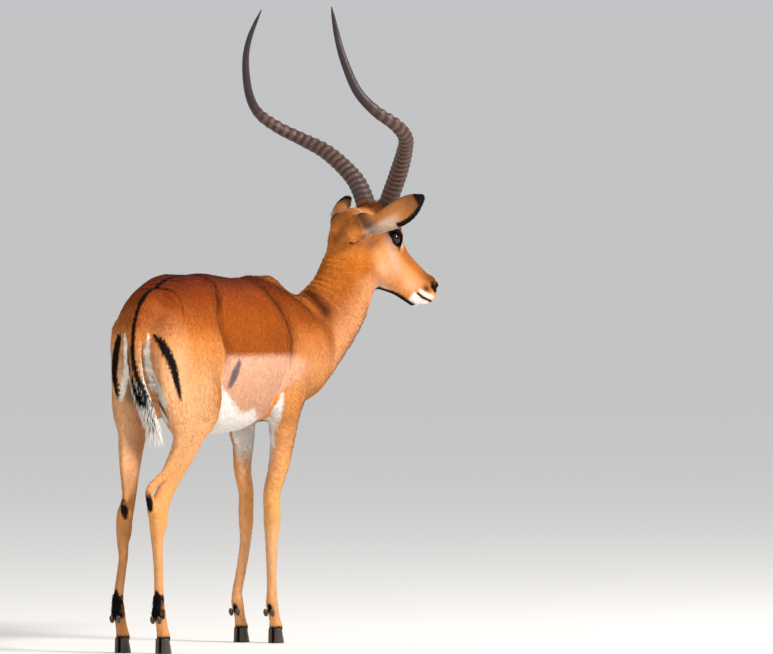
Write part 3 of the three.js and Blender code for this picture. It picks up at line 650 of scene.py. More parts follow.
def on_tail(points):
    """Share of the tail's length, and how far across it, where a point is by the tail."""
    centre = TAIL_LINE[:, :3]
    gaps = np.sqrt(((points[:, None, :] - centre[None]) ** 2).sum(axis=2))
    nearest = gaps.argmin(axis=1)
    return nearest / (len(centre) - 1), points[:, 0] - centre[nearest, 0], gaps.min(axis=1)


def regions(points):
    x, y, z = points.T
    region = np.full(len(points), BODY_REGION)
    region[(z < 560) & (y > 60) & (x > 0)] = 5
    region[(z < 560) & (y > 60) & (x <= 0)] = 6
    region[(z < 560) & (y < -250) & (x > -6)] = 7
    region[(z < 560) & (y < -250) & (x <= -6)] = 8
    throat = on_head(-58, 0, -58)
    region[(points - throat) @ (-0.69 * HEAD_FORWARD - 0.72 * HEAD_UP) < 0] = HEAD_REGION
    back = np.flatnonzero((y > 270) & (z > 480) & (z < 845))
    if len(back):
        share, across, gap = on_tail(points[back])
        region[back[(gap < 27) & (share > 0.2)]] = TAIL_REGION
    for side in (-1, 1):
        along, across, out = ear_place(points, side)
        region[(along > 0.1) & (along < 1.06) & (np.abs(across) < 44) & (out < 16) & (out > -34)] = EAR_REGION[side]
    return region


def lie(points, region):
    """Which way the hair lies: back over the face and body, down the legs, along the ears and the tail."""
    x, y, z = points.T
    head_share = step(to_head(points)[:, 0], -150, -40)[:, None]
    neck_share = step(-y, 420, 560)[:, None]
    leg_share = step(-z, -640, -520)[:, None]
    side = np.sign(x) * np.minimum(np.abs(x) / 60, 1)
    body = np.stack((side * 0.15, np.ones(len(x)), -0.35 - 0.4 * np.abs(side)), axis=1)
    neck = np.array((0.2, 0.55, -0.85))
    leg = np.array((0, 0.25, -1.0))
    flow = body * (1 - neck_share) + neck * neck_share
    flow = flow * (1 - leg_share) + leg * leg_share
    flow = flow * (1 - head_share) + (-HEAD_FORWARD - 0.25 * HEAD_UP) * head_share
    flow[region == TAIL_REGION] = (-0.15, 0.12, -1)
    for side in (-1, 1):
        flow[region == EAR_REGION[side]] = EAR_FRAMES[side][1]
    return flow / np.linalg.norm(flow, axis=1, keepdims=True)


UNWRAP_COLUMNS = 8


class Unwrap:
    """A box unwrap of the skin: each region's six sides get a square of their own."""

    def __init__(self, points, region):
        self.low = np.zeros((9, 3))
        self.size = np.ones((9, 3))
        for k in range(9):
            chosen = points[region == k]
            if len(chosen):
                self.low[k] = chosen.min(axis=0) - 6
                self.size[k] = np.ptp(chosen, axis=0) + 12

    def place(self, points, normals, region):
        way = np.abs(normals).argmax(axis=1)
        facing = way * 2 + (normals[np.arange(len(way)), way] > 0)
        share = (points - self.low[region]) / self.size[region]
        first = np.where(way == 0, share[:, 1], share[:, 0])
        second = np.where(way == 2, share[:, 1], share[:, 2])
        cell = region * 6 + facing
        column, row = cell % UNWRAP_COLUMNS, cell // UNWRAP_COLUMNS
        spot = np.stack((first, second), axis=1) * 0.94 + 0.03
        return (np.stack((column, row), axis=1) + np.clip(spot, 0.01, 0.99)) / UNWRAP_COLUMNS


# ------------------------------------------------------------------ colours and markings


def linear(code):
    """A '#rrggbb' colour as linear light."""
    srgb = np.array([int(code[k:k + 2], 16) / 255 for k in (1, 3, 5)])
    return np.where(srgb < 0.04045, srgb / 12.92, ((srgb + 0.055) / 1.055) ** 2.4)


TAN = linear("#dd8d4c")
ORANGE = linear("#d17128")
CHEEK = linear("#e79c62")
PEACH = linear("#ecba93")
THROAT_PALE_AND_LIT = linear("#e8a06c")
BRIDGE_BROWN = linear("#a9612c")
DARK_PATCH_AND_SHADE = linear("#4e200c")
CREAM = linear("#efe3d6")
DARK_BROWN = linear("#4a2a1b")
GREY_BROWN = linear("#6a4c3a")
FOLD_SHADE = linear("#4f2410")
FLANK_GREY = linear("#5c5361")
LID_BROWN = linear("#1d1719")
STREAK = linear("#c9aa98")
EAR_PALE = linear("#cdb5a3")
BLACK_HAIR = linear("#16100e")
WHITE_HAIR = linear("#f2ece4")

# the coat's colour at each height, on the haunch and the legs, the trunk, the shoulder, and the neck
HAUNCH_RAMP = [(60, "#d29360"), (250, "#d49a65"), (330, "#d8985a"), (560, "#dfa474"), (640, "#e2a774"),
               (700, "#dd9459"), (740, "#db8741"), (785, "#b05d22"), (850, "#8d3e12"), (900, "#652514")]
TRUNK_RAMP = [(560, "#d29c7d"), (640, "#dca688"), (700, "#e6ae90"), (718, "#a0501b"), (800, "#a45218"),
              (860, "#944318"), (905, "#571d11")]
SHOULDER_RAMP = [(60, "#d49864"), (250, "#e0a777"), (330, "#dd9e5d"), (470, "#e19d65"), (590, "#d48b4b"), (680, "#db955e"),
                 (750, "#c8773a"), (790, "#a4521b"), (850, "#853d14"), (905, "#571d11")]
NECK_RAMP = [(640, "#c68048"), (740, "#a05a2a"), (860, "#af6124"), (930, "#c36d23"), (1000, "#d9853d"),
             (1060, "#be6c2e")]

THIGH_STRIPE = {
    -1: [(-43, 295, 760, 5), (-58, 291, 748, 9), (-71, 286, 724, 11.5), (-81, 273, 693, 12), (-85, 261, 661, 11),
         (-89, 253, 635, 9), (-95, 249, 602, 4)],
    1: [(52, 293, 757, 7), (57, 292, 738, 10), (63, 291, 706, 12), (66, 291, 678, 12), (64, 292, 654, 10),
        (61, 290, 630, 8), (57, 285, 606, 4)],
}
# the buttocks' white stripes, in the plane across the slanting seat, with rows [across, height, radius]
BUTTOCK_STRIPE = {
    -1: [(-25, 761, 4), (-21, 738, 8), (-21, 709, 9), (-28, 678, 9.5), (-41, 650, 10), (-56, 623, 9.5), (-72, 593, 5)],
    1: [(35, 759, 5), (33, 735, 7.5), (32, 705, 8), (34, 670, 8), (40, 640, 8), (48, 608, 5)],
}
INNER_STRIPE = [(-30, 642, 3), (-40, 614, 7), (-55, 586, 7), (-74, 556, 5)]
INNER_LINE = [(-36, 640, 0.5), (-48, 612, 2), (-66, 583, 2), (-78, 562, 0.5)]
SEAT_SLANT = 0.51
ELBOW_STRIPE = [(95, -286, 612, 5), (86, -284, 578, 14), (70, -296, 526, 13), (58, -302, 478, 6)]
FLANK_PATCH = [(113, -22, 690, 8), (110, -8, 664, 14), (103, 2, 642, 9)]
LIP_LINE = [(144, 19, -64), (162, 17, -64), (179, 16, -59), (195, 10, -54), (197, 0, -53)]


def mixed(base, colour, share):
    return base + (colour - base) * np.clip(share, 0, 1)[:, None]


def ramp(values, stops):
    """Colours that change with height."""
    heights = [height for height, _ in stops]
    colours = np.array([linear(code) for _, code in stops])
    return np.stack([np.interp(values, heights, colours[:, k]) for k in range(3)], axis=1)


def along_fold(z, fold):
    """How far back a fold of the skin is at each height."""
    line = np.array(FOLDS[fold][0], float)[::-1]
    return np.interp(z, line[:, 2], line[:, 1])


def base_colour(points, normals):
    """The coat's ground colours: haunch, trunk, shoulder and neck, which run softly into each other, with painted shade
    in the skin's folds, between the thighs and on the far hind leg, partly painted shade at the neck's base, and
    painted light on the front of the neck.
    """
    x, y, z = points.T
    nx, ny, nz = normals.T
    side = np.sign(x)
    inner = step(-nx * side, 0.15, 0.6)
    soft = 10 + 30 * step(z, 850, 890)
    haunch = step((y - along_fold(z, 0)) / soft, -1, 1)
    spread = np.exp(-((z - 672) / 36) ** 2)
    shoulder = step((along_fold(z, 1) - 62 * spread - y) / (soft + 40 * spread), -1, 1)
    neck = step(along_fold(z, 2) - y, -25, 25) * step(z, 600, 680)
    colour = ramp(z, TRUNK_RAMP)
    colour = mixed(colour, ramp(z, HAUNCH_RAMP), haunch)
    colour = mixed(colour, ramp(z, SHOULDER_RAMP), shoulder)
    throat = ramp(z, NECK_RAMP)
    # the front of the neck, where it faces forward, is paler: a paler throat with painted light on its lit side
    throat = mixed(throat, THROAT_PALE_AND_LIT, step(-ny, -0.62, -0.1) * 0.9 * step(-y, 500, 545))
    colour = mixed(colour, throat, neck)
    # the neck's base is darkened in its crease: dark-brown hair with painted shade; the nape gets a darker spot too
    base = np.exp(-(tapered_distance(points, [(-62, -498, 866, 0), (-88, -497, 840, 0), (-106, -505, 815, 0)]) / 21) ** 2)
    nape = np.exp(-(tapered_distance(points, [(-108, -570, 995, 0), (-121, -577, 1010, 0)]) / 12) ** 2)
    colour = mixed(colour, DARK_PATCH_AND_SHADE, np.maximum(base, nape * 0.8))
    # the thigh is paler at its back, and everything is paler on the inside and below
    behind = np.exp(-((y - 262) / 38) ** 2 - ((z - 690) / 75) ** 2) * haunch
    colour = mixed(colour, linear("#efc297"), behind * 0.55)
    colour = mixed(colour, PEACH, inner * step(-z, -700, -620) * step(z, 330, 440) * 0.55 * (1 - neck))
    fore_thigh = np.exp(-((y - 95) / 40) ** 2 - ((z - 615) / 60) ** 2) * haunch
    colour = mixed(colour, linear("#bd7130"), fore_thigh * 0.9)
    # painted shade: the far hind leg below the body is darkened as if in shade
    far_hind_shade = step(x, 0, 10) * step(y, 80, 120) * step(-z, -480, -400)
    colour = mixed(colour, linear("#8f5a2c"), far_hind_shade * 0.4)
    # painted shade between the thighs, stronger on the far side
    between = step(y, 225, 265) * step(50 - np.abs(x), 0, 16) * step(z, 570, 620) * step(-z, -770, -710)
    colour = mixed(colour, GREY_BROWN, between * np.where(x > 0, 0.8, 0.35))
    # painted shade: brown darkening along the skin's folds, where shade falls in the creases
    flat = flattened(points)
    for (line, _, _), reach in zip(FOLD_LINES, (6, 7, 8)):
        gap = tube_distance(flat, line, 0)
        shade = 0.65 * np.exp(-(gap / reach) ** 2) + 0.35 * np.exp(-(gap / (3 * reach)) ** 2)
        colour = mixed(colour, FOLD_SHADE, shade * step(z, 650, 750) * (1 - neck * 0.7))
    arm = step(-y, 270, 300) * step(-z, -650, -600) * step(z, 430, 490)
    lower = step(-z, -580, -430) * 0.5
    colour = mixed(colour, WHITE_HAIR, arm * step(-nx * side + 0.6 * ny - lower, 0.08, 0.34))
    for way in (-1, 1):
        gap = tapered_distance(points, mirrored(FLANK_PATCH, way))
        colour = mixed(colour, FLANK_GREY, step(-gap, -9, 5) * 0.9)
    return colour


def mirrored(rows, side):
    return [(x * side, *rest) for x, *rest in rows]


def face_colour(colour, points, region):
    """The face's soft colours, laid over the ground colour."""
    forward, left, up = to_head(points).T
    outward = np.abs(left)
    folded = np.stack((forward, outward, up), axis=1)
    depth = (points - on_head(-58, 0, -58)) @ (0.69 * HEAD_FORWARD + 0.72 * HEAD_UP)
    near = np.linalg.norm(points - HEAD_MIDDLE, axis=1) < 300
    on_face = step(depth, -15, 40) * near

    def lay(new, share):
        nonlocal colour
        colour = mixed(colour, new, share * on_face)

    def spot(f, l, u, rf, rl, ru):
        return np.exp(-(((forward - f) / rf) ** 2 + ((outward - l) / rl) ** 2 + ((up - u) / ru) ** 2))

    lay(TAN, 0.8 + 0 * forward)
    lay(BRIDGE_BROWN, step(forward, 14, 50) * step(up, -42, -16) * 0.95)
    lay(DARK_BROWN, step(forward, 110, 165) * step(up, -34, -12) * 0.6)
    lay(DARK_BROWN, spot(-62, 0, 44, 34, 26, 26) * 0.7)
    lay(CHEEK, spot(40, 30, -50, 60, 34, 22) * 0.85)
    lay(CHEEK, spot(-10, 40, -62, 36, 34, 26) * 0.9)
    lay(PEACH, spot(110, 20, -58, 40, 22, 18) * 0.6)
    lay(PEACH, spot(5, 40, -84, 44, 34, 24) * 0.7)
    lay(DARK_BROWN, spot(160, 20, -40, 13, 16, 10) * 0.95)
    lay(STREAK, step(-tapered_distance(folded, [(-26, 46, -13, 4), (12, 42, -39, 6), (50, 36, -57, 4)]), -18, 6) * 0.7)
    lay(CREAM, spot(-84, 40, -58, 24, 26, 17) * 0.85)
    lay(LID_BROWN, np.minimum(spot(-20, 48, 8, 26, 22, 15) * 1.6, 1))
    lay(CREAM, spot(26, 38, 4, 7, 16, 12) * 0.8)
    # the ear's root: dark grey-brown hair with painted shade at its base
    lay(LID_BROWN, spot(-100, 50, -30, 24, 30, 26) * 0.45)
    lay(LID_BROWN, spot(21, 38, -14, 8, 16, 6) * 0.9)
    lay(CREAM, step(-tapered_distance(folded, [(146, 22, -57, 4), (172, 21, -53, 6), (191, 12, -45, 5)]), -4, 3))
    lay(CREAM, spot(60, 0, -112, 80, 22, 16) * 0.6)
    return colour


def ear_colour(colour, points, normals, region):
    """Tan backs, white linings and grey-brown roots, partly painted shade at the roots."""
    for side in (-1, 1):
        along, across, out = ear_place(points, side)
        near = step(46 - np.abs(across), 0, 8) * step(18 - out, 0, 8) * step(out + 38, 0, 8)
        here = np.where(region == EAR_REGION[side], 1, near) * step(along, -0.02, 0.16)
        inside = step(normals @ EAR_FRAMES[side][2], 0.0, 0.4)
        ear = np.repeat((TAN * 0.65 + GREY_BROWN * 0.35)[None], len(points), axis=0)
        ear = mixed(ear, DARK_BROWN, step(along, 0.5, 0.9) * 0.7)
        ear = mixed(ear, EAR_PALE, step(across * side, -4, 14) * step(-along, -0.66, -0.42) * 0.95)
        # grey-brown root, partly painted shade at the ear's base
        ear = mixed(ear, GREY_BROWN * 0.8, step(-along, -0.36, -0.16) * (0.95 - 0.6 * step(across * side, 0, 14)))
        ear = mixed(ear, CREAM, inside)
        colour = mixed(colour, ear, here)
    return colour


FAR = 2000.0
EAR_TIP = {1: 0.7, -1: 0.88}


def coat_paint(points, normals, region):
    """Ground colour, and signed measures of the dark and the white marks: less than 0 inside a mark."""
    x, y, z = points.T
    nx, ny, nz = normals.T
    colour = base_colour(points, normals)
    colour = face_colour(colour, points, region)
    colour = ear_colour(colour, points, normals, region)
    dark = np.full(len(points), 20.0)
    white = np.full(len(points), 20.0)

    def darken(gap, soft):
        nonlocal dark
        dark = np.minimum(dark, gap / soft)

    def whiten(gap, soft):
        nonlocal white
        white = np.minimum(white, gap / soft)

    body = (region >= BODY_REGION) & (region != TAIL_REGION)
    off_body = np.where(body, 0, FAR)
    for side in (-1, 1):
        darken(tapered_distance(points, THIGH_STRIPE[side]) + off_body, 3)
        across = x + SEAT_SLANT * (y - 290)
        on_seat = np.where(body & (y > 205) & (ny > -0.3) & (x * side > -6), 0, FAR)
        whiten(flat_stripe(across, z, BUTTOCK_STRIPE[side]) + on_seat, 3)
        if side < 0:
            whiten(flat_stripe(across, z, INNER_STRIPE) + on_seat, 3)
            darken(flat_stripe(across, z, INNER_LINE) + on_seat, 2)
    spine_width = np.interp(y, (-60, 0, 100, 200, 300), (0, 3, 5, 6, 7))
    darken(np.abs(x) - spine_width + np.where((nz > -0.2) & (y > -60) & (z > 770), off_body, FAR), 2.5)
    belly_top = np.interp(-y, (-150, -35, 30, 84, 116, 148, 200), (612, 634, 600, 573, 572, 580, 560))
    belly = np.maximum(z - belly_top, np.maximum(y - along_fold(z, 0) - 12, -215 - y))
    whiten(np.maximum(belly, 505 - z) + off_body, 9)
    for side in (-1, 1):
        whiten(tapered_distance(points, mirrored(ELBOW_STRIPE, side)) + off_body, 5)
    for name, side, joints in LEGS:
        fx, fy = joints["fetlock"]
        if name == "hind":
            hx, hy = joints["heel"]
            drop = joints["drop"]
            darken(tapered_distance(points, [(hx, hy + 6, 386 - drop, 6), (hx, hy + 6, 366 - drop, 10),
                                             (hx, hy - 4, 346 - drop, 7)]), 2.5)
            darken(tapered_distance(points, [(fx, fy + 14, 148, 6), (fx, fy + 14, 128, 12), (fx, fy + 12, 106, 13),
                                             (fx, fy + 12, 88, 6)]), 3)
        else:
            darken(tapered_distance(points, [(fx, fy + 18, 92, 7), (fx, fy + 12, 76, 9)]), 3)
        darken(z - CORONET_HEIGHT - 5, 4)
    # tail: a dark line down its back, white below and at its end
    share, across, gap = on_tail(points)
    off_tail = np.where(region == TAIL_REGION, 0, FAR)
    width = np.interp(share, (0.15, 0.4, 0.8, 0.93, 1), (4.5, 5, 6, 8, 7))
    lean = np.interp(share, (0, 0.5, 0.8, 1), (0, 3, 9, 10))
    darken(np.abs(across + lean) - width + off_tail + 60 * step(-ny, 0.1, 0.4), 2.5)
    whiten((0.62 - share) * 250 + np.abs(across) * -0.4 + 9 + off_tail, 4)
    whiten(20 - 40 * step(-ny, 0.1, 0.5) + off_tail, 6)
    # face
    forward, left, up = to_head(points).T
    outward = np.abs(left)
    off_face = np.where(region == HEAD_REGION, 0, FAR)
    eye_side = np.where(outward > 25, 0, FAR)
    lid = almond_distance(forward - EYE_PLACE[0], up - EYE_PLACE[2]) - 4.5 - 4.5 * step(up - 0.5 * forward, 0, 14)
    darken(lid + off_face + eye_side, 1.4)
    folded = np.stack((forward, outward, up), axis=1)
    whiten(tapered_distance(folded, [(13, 46, 23, 2), (19, 45, 10, 3.5), (22, 42, -2, 2)]) + off_face, 2)
    whiten(np.maximum(134 - forward, up + 67 - 7 * step(forward, 165, 182)) + off_face, 5)
    darken(tube_distance(folded, np.array(LIP_LINE, float), 3.4) + off_face, 1.5)
    nose = folded - NOSTRIL
    darken((np.sqrt((nose[:, 0] / 12) ** 2 + (nose[:, 1] / 12) ** 2 + (nose[:, 2] / 8.5) ** 2) - 1) * 6 + off_face, 1.5)
    pad = folded - (182, 18, -22)
    darken((np.sqrt((pad[:, 0] / 17) ** 2 + (pad[:, 1] / 17) ** 2 + (pad[:, 2] / 12) ** 2) - 1) * 10 + off_face, 2)
    darken(tapered_distance(folded, [(188, 0, -24, 5), (192, 0, -36, 2.5), (194, 0, -50, 2)]) + off_face, 1.5)
    # the jaw's underside, where it faces down, is darkened: dark hair with painted shade
    under = -normals @ HEAD_UP
    jaw = np.maximum(np.maximum(40 - forward, forward - 160), np.maximum(outward - 10, (0.6 - under) * 30))
    darken(jaw + off_face, 3)
    # ears: black tips and lower edges
    for side in (-1, 1):
        along, across, out = ear_place(points, side)
        tip = (EAR_TIP[side] - along) * EAR_LENGTH
        half = np.interp(along, EAR_SMOOTH[:, 0], EAR_SMOOTH[:, 1]) * EAR_SHARE_OF_WIDTH[side]
        edge = np.maximum(half - 8 - np.abs(across), np.maximum((0.5 - along) * EAR_LENGTH, -10 * np.sign(across * side)))
        inside = step(normals @ EAR_FRAMES[side][2], 0.0, 0.4)
        darken(np.where(region == EAR_REGION[side], np.minimum(tip, edge) + 8 * inside, 60), 3)
    return colour, np.clip(dark, -8, 8), np.clip(white, -8, 8)

# ------------------------------------------------------------------ materials


def nodes_of(name):
    material = bpy.data.materials.new(name)
    material.use_nodes = True
    tree = material.node_tree
    return material, tree, tree.nodes["Principled BSDF"]


def add(tree, kind, inputs=None, **settings):
    node = tree.nodes.new(kind)
    for key, value in settings.items():
        setattr(node, key, value)
    for key, value in (inputs or {}).items():
        socket = node.inputs[key]
        if isinstance(value, bpy.types.NodeSocket):
            tree.links.new(value, socket)
        else:
            socket.default_value = value
    return node


def position(tree):
    return tree.nodes.new("ShaderNodeTexCoord").outputs["Object"]


def noise(tree, scale, detail=3.0, stretch=(1, 1, 1)):
    spot = add(tree, "ShaderNodeMapping", {"Vector": position(tree), "Scale": stretch})
    return add(tree, "ShaderNodeTexNoise", {"Vector": spot.outputs[0], "Scale": scale, "Detail": detail}).outputs[0]


def math_node(tree, operation, *values):
    node = tree.nodes.new("ShaderNodeMath")
    node.operation = operation
    for socket, value in zip(node.inputs, values):
        if isinstance(value, bpy.types.NodeSocket):
            tree.links.new(value, socket)
        else:
            socket.default_value = value
    return node.outputs[0]


def mix_colour(tree, factor, first, second, blend="MIX"):
    node = tree.nodes.new("ShaderNodeMix")
    node.data_type = "RGBA"
    node.blend_type = blend
    for key, value in ((0, factor), (6, first), (7, second)):
        if isinstance(value, bpy.types.NodeSocket):
            tree.links.new(value, node.inputs[key])
        elif isinstance(value, (int, float)):
            node.inputs[key].default_value = value
        else:
            node.inputs[key].default_value = (*value, 1)
    return node.outputs[2]


def bump(tree, shader, height, strength, distance):
    node = add(tree, "ShaderNodeBump", {"Height": height, "Strength": strength, "Distance": distance})
    tree.links.new(node.outputs[0], shader.inputs["Normal"])


def coat_material():
    """Short hair: ground colour, ragged-edged marks, streaks and fine bump."""
    material, tree, shader = nodes_of("coat")
    ground = add(tree, "ShaderNodeAttribute", attribute_name="ground").outputs["Color"]
    ragged = math_node(tree, "MULTIPLY_ADD", noise(tree, 260, 2, (1, 1, 0.35)), 2.2, -1.1)
    streak = noise(tree, 150, 4, (1, 0.5, 0.5))
    broad = noise(tree, 16, 3)
    shade = math_node(tree, "MULTIPLY_ADD", streak, 0.34, 0.83)
    shade = math_node(tree, "MULTIPLY", shade, math_node(tree, "MULTIPLY_ADD", broad, 0.24, 0.88))
    scaled = add(tree, "ShaderNodeVectorMath", {0: ground, "Scale": shade}, operation="SCALE").outputs[0]
    for name, hair in (("white", WHITE_HAIR), ("dark", BLACK_HAIR)):
        measure = add(tree, "ShaderNodeAttribute", attribute_name=name).outputs["Fac"]
        edge = math_node(tree, "ADD", measure, ragged)
        inside = add(tree, "ShaderNodeMapRange", {"Value": edge, "From Min": 1.0, "From Max": -1.0},
                     interpolation_type="SMOOTHSTEP").outputs[0]
        tint = add(tree, "ShaderNodeVectorMath", {0: tuple(hair), "Scale": shade}, operation="SCALE").outputs[0]
        scaled = mix_colour(tree, inside, scaled, tint)
    tree.links.new(scaled, shader.inputs["Base Color"])
    shader.inputs["Roughness"].default_value = 0.62
    shader.inputs["Specular IOR Level"].default_value = 0.05
    bump(tree, shader, noise(tree, 420, 3, (1, 0.4, 0.3)), 0.35, 0.0012)
    return material


def horn_material():
    """Keratin: purplish brown, with a painted highlight on the ridges, darker and smoother to the tip."""
    material, tree, shader = nodes_of("horn")
    along = add(tree, "ShaderNodeAttribute", attribute_name="along").outputs["Fac"]
    crest = add(tree, "ShaderNodeAttribute", attribute_name="crest").outputs["Fac"]
    fibres = noise(tree, 240, 4, (1, 1, 0.12))
    blotch = noise(tree, 22, 3)
    tip = add(tree, "ShaderNodeMapRange", {"Value": along, "From Min": 0.5, "From Max": 0.85}).outputs[0]
    colour = mix_colour(tree, blotch, linear("#38211f"), linear("#1d1212"))
    # painted highlight: the ridges' crests are paler
    colour = mix_colour(tree, math_node(tree, "MULTIPLY", crest, 0.9), colour, linear("#674638"))
    colour = mix_colour(tree, math_node(tree, "MULTIPLY", tip, 0.85), colour, linear("#2c1d22"))
    colour = mix_colour(tree, 0.5, colour, mix_colour(tree, fibres, (0.25, 0.25, 0.25), (0.8, 0.8, 0.8)), "OVERLAY")
    tree.links.new(colour, shader.inputs["Base Color"])
    rough = add(tree, "ShaderNodeMapRange", {"Value": fibres, "To Min": 0.38, "To Max": 0.62}).outputs[0]
    tree.links.new(rough, shader.inputs["Roughness"])
    bump(tree, shader, fibres, 0.5, 0.002)
    return material


def hoof_material():
    material, tree, shader = nodes_of("hoof")
    grain = noise(tree, 180, 4, (1, 1, 0.15))
    bands = noise(tree, 60, 2, (0.15, 0.15, 1))
    colour = mix_colour(tree, grain, linear("#1a1412"), linear("#3b302a"))
    colour = mix_colour(tree, math_node(tree, "MULTIPLY", bands, 0.4), colour, linear("#5a4a3e"))
    tree.links.new(colour, shader.inputs["Base Color"])
    shader.inputs["Roughness"].default_value = 0.42
    bump(tree, shader, math_node(tree, "ADD", grain, bands), 0.4, 0.0015)
    return material


def eye_material():
    """Almost black, with a dark brown iris round a level pupil, and a wet surface."""
    material, tree, shader = nodes_of("eye")
    iris = add(tree, "ShaderNodeAttribute", attribute_name="iris").outputs["Fac"]
    fleck = noise(tree, 600, 3)
    colour = mix_colour(tree, math_node(tree, "MULTIPLY", iris, math_node(tree, "MULTIPLY_ADD", fleck, 0.6, 0.4)),
                        linear("#050304"), linear("#1e1412"))
    tree.links.new(colour, shader.inputs["Base Color"])
    shader.inputs["Roughness"].default_value = 0.12
    shader.inputs["Specular IOR Level"].default_value = 0.3
    shader.inputs["Coat Weight"].default_value = 0.25
    shader.inputs["Coat Roughness"].default_value = 0.02
    return material


# ------------------------------------------------------------------ meshes


def mesh_object(name, points, faces, material, replaced=(), smooth=True):
    """A piece from points in the design frame, in millimetres, riding on the one body."""
    mesh = bpy.data.meshes.new(name)
    points = (np.asarray(points, float) + SHIFT) * 0.001
    if isinstance(faces, np.ndarray):
        count, sides = faces.shape
        mesh.vertices.add(len(points))
        mesh.vertices.foreach_set("co", points.ravel())
        mesh.loops.add(count * sides)
        mesh.loops.foreach_set("vertex_index", faces.astype(np.int32).ravel())
        mesh.polygons.add(count)
        mesh.polygons.foreach_set("loop_start", np.arange(0, count * sides, sides, dtype=np.int32))
        mesh.update(calc_edges=True)
    else:
        mesh.from_pydata(points.tolist(), [], faces)
    mesh.validate()
    mesh.polygons.foreach_set("use_smooth", np.full(len(mesh.polygons), smooth))
    mesh.materials.append(material)
    piece = bpy.data.objects.new(name, mesh)
    bpy.context.scene.collection.objects.link(piece)
    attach(piece, "root")
    if replaced:
        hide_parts(*replaced)
    return piece


def set_number(mesh, name, values):
    mesh.attributes.new(name, "FLOAT", "POINT").data.foreach_set("value", np.asarray(values, np.float32))


def set_colour(mesh, name, values):
    rgba = np.concatenate((values, np.ones((len(values), 1))), axis=1).astype(np.float32)
    mesh.attributes.new(name, "FLOAT_COLOR", "POINT").data.foreach_set("color", rgba.ravel())


def ring_faces(rings, sides):
    """Quads between rings of points, for a tube whose rings follow each other."""
    r, k = np.meshgrid(np.arange(rings - 1), np.arange(sides), indexing="ij")
    nxt = (k + 1) % sides
    return np.stack((r * sides + k, r * sides + nxt, (r + 1) * sides + nxt, (r + 1) * sides + k), axis=-1).reshape(-1, 4)


FLESH = ["head", "neck", "trunk", "tail", "ear_left", "ear_right"] + [
    f"{leg}_leg_{side}_{part}" for leg in ("fore", "hind") for side in ("left", "right") for part in ("upper", "lower")]


def vertex_normals(mesh):
    normals = np.empty(len(mesh.vertices) * 3, np.float32)
    mesh.vertices.foreach_get("normal", normals)
    return normals.reshape(-1, 3).astype(float)


def build_skin(coat):
    points, quads = skin_arrays()
    quads = quads[:, ::-1] if skin_is_inward(points, quads) else quads
    skin = mesh_object("skin", points, quads.astype(np.int32), coat, FLESH)
    normals = vertex_normals(skin.data)
    region = regions(points)
    colour, dark, white = coat_paint(points, normals, region)
    set_colour(skin.data, "ground", colour)
    set_number(skin.data, "dark", dark)
    set_number(skin.data, "white", white)
    unwrap = Unwrap(points, region)
    face_normals = np.cross(points[quads[:, 2]] - points[quads[:, 0]], points[quads[:, 3]] - points[quads[:, 1]])
    face_region = region[quads[:, 0]]
    spots = np.empty((len(quads), 4, 2))
    for corner in range(4):
        spots[:, corner] = unwrap.place(points[quads[:, corner]], face_normals, face_region)
    layer = skin.data.uv_layers.new(name="OFBake")
    layer.data.foreach_set("uv", spots.astype(np.float32).ravel())
    return skin, points, quads, normals, region, unwrap


def skin_is_inward(points, quads):
    a, b, c, d = (points[quads[:, k]] for k in range(4))
    volume = (a * np.cross(b, c)).sum() + (a * np.cross(c, d)).sum()
    return volume < 0


# ------------------------------------------------------------------ horns, eyes, hooves

HORN_LINE = [
    [-17, 33, 46], [-27, 45, 85], [-33, 89, 151], [-62, 159, 214], [-100, 215, 249], [-153, 246, 279],
    [-214, 245, 314], [-256, 228, 363], [-281, 207, 439], [-285, 184, 501], [-275, 148, 569],
]
HORN_BASE_RADIUS = 24.0
HORN_RADII = [(0, 24), (0.1, 22), (0.2, 20.3), (0.3, 18.4), (0.4, 16), (0.5, 14.2), (0.6, 12.6), (0.7, 11),
              (0.8, 9.2), (0.9, 7), (0.96, 4.5), (1, 1.2)]
RIDGED_LENGTH = 0.66
RIDGES = 26
RIDGE_GROWTH = 2.0


def ridge_count(along):
    """How many ridges lie below a share of the horn's length: they are spaced wider further up."""
    return RIDGES * math.log1p((RIDGE_GROWTH - 1) * along / RIDGED_LENGTH) / math.log(RIDGE_GROWTH)


def even_line(points, count):
    """A smooth line through the points, at even steps."""
    dense = smooth_rows(points, 24)
    travelled = np.r_[0, np.cumsum(np.sqrt((np.diff(dense, axis=0) ** 2).sum(axis=1)))]
    places = np.linspace(0, travelled[-1], count)
    return np.stack([np.interp(places, travelled, dense[:, k]) for k in range(3)], axis=1)


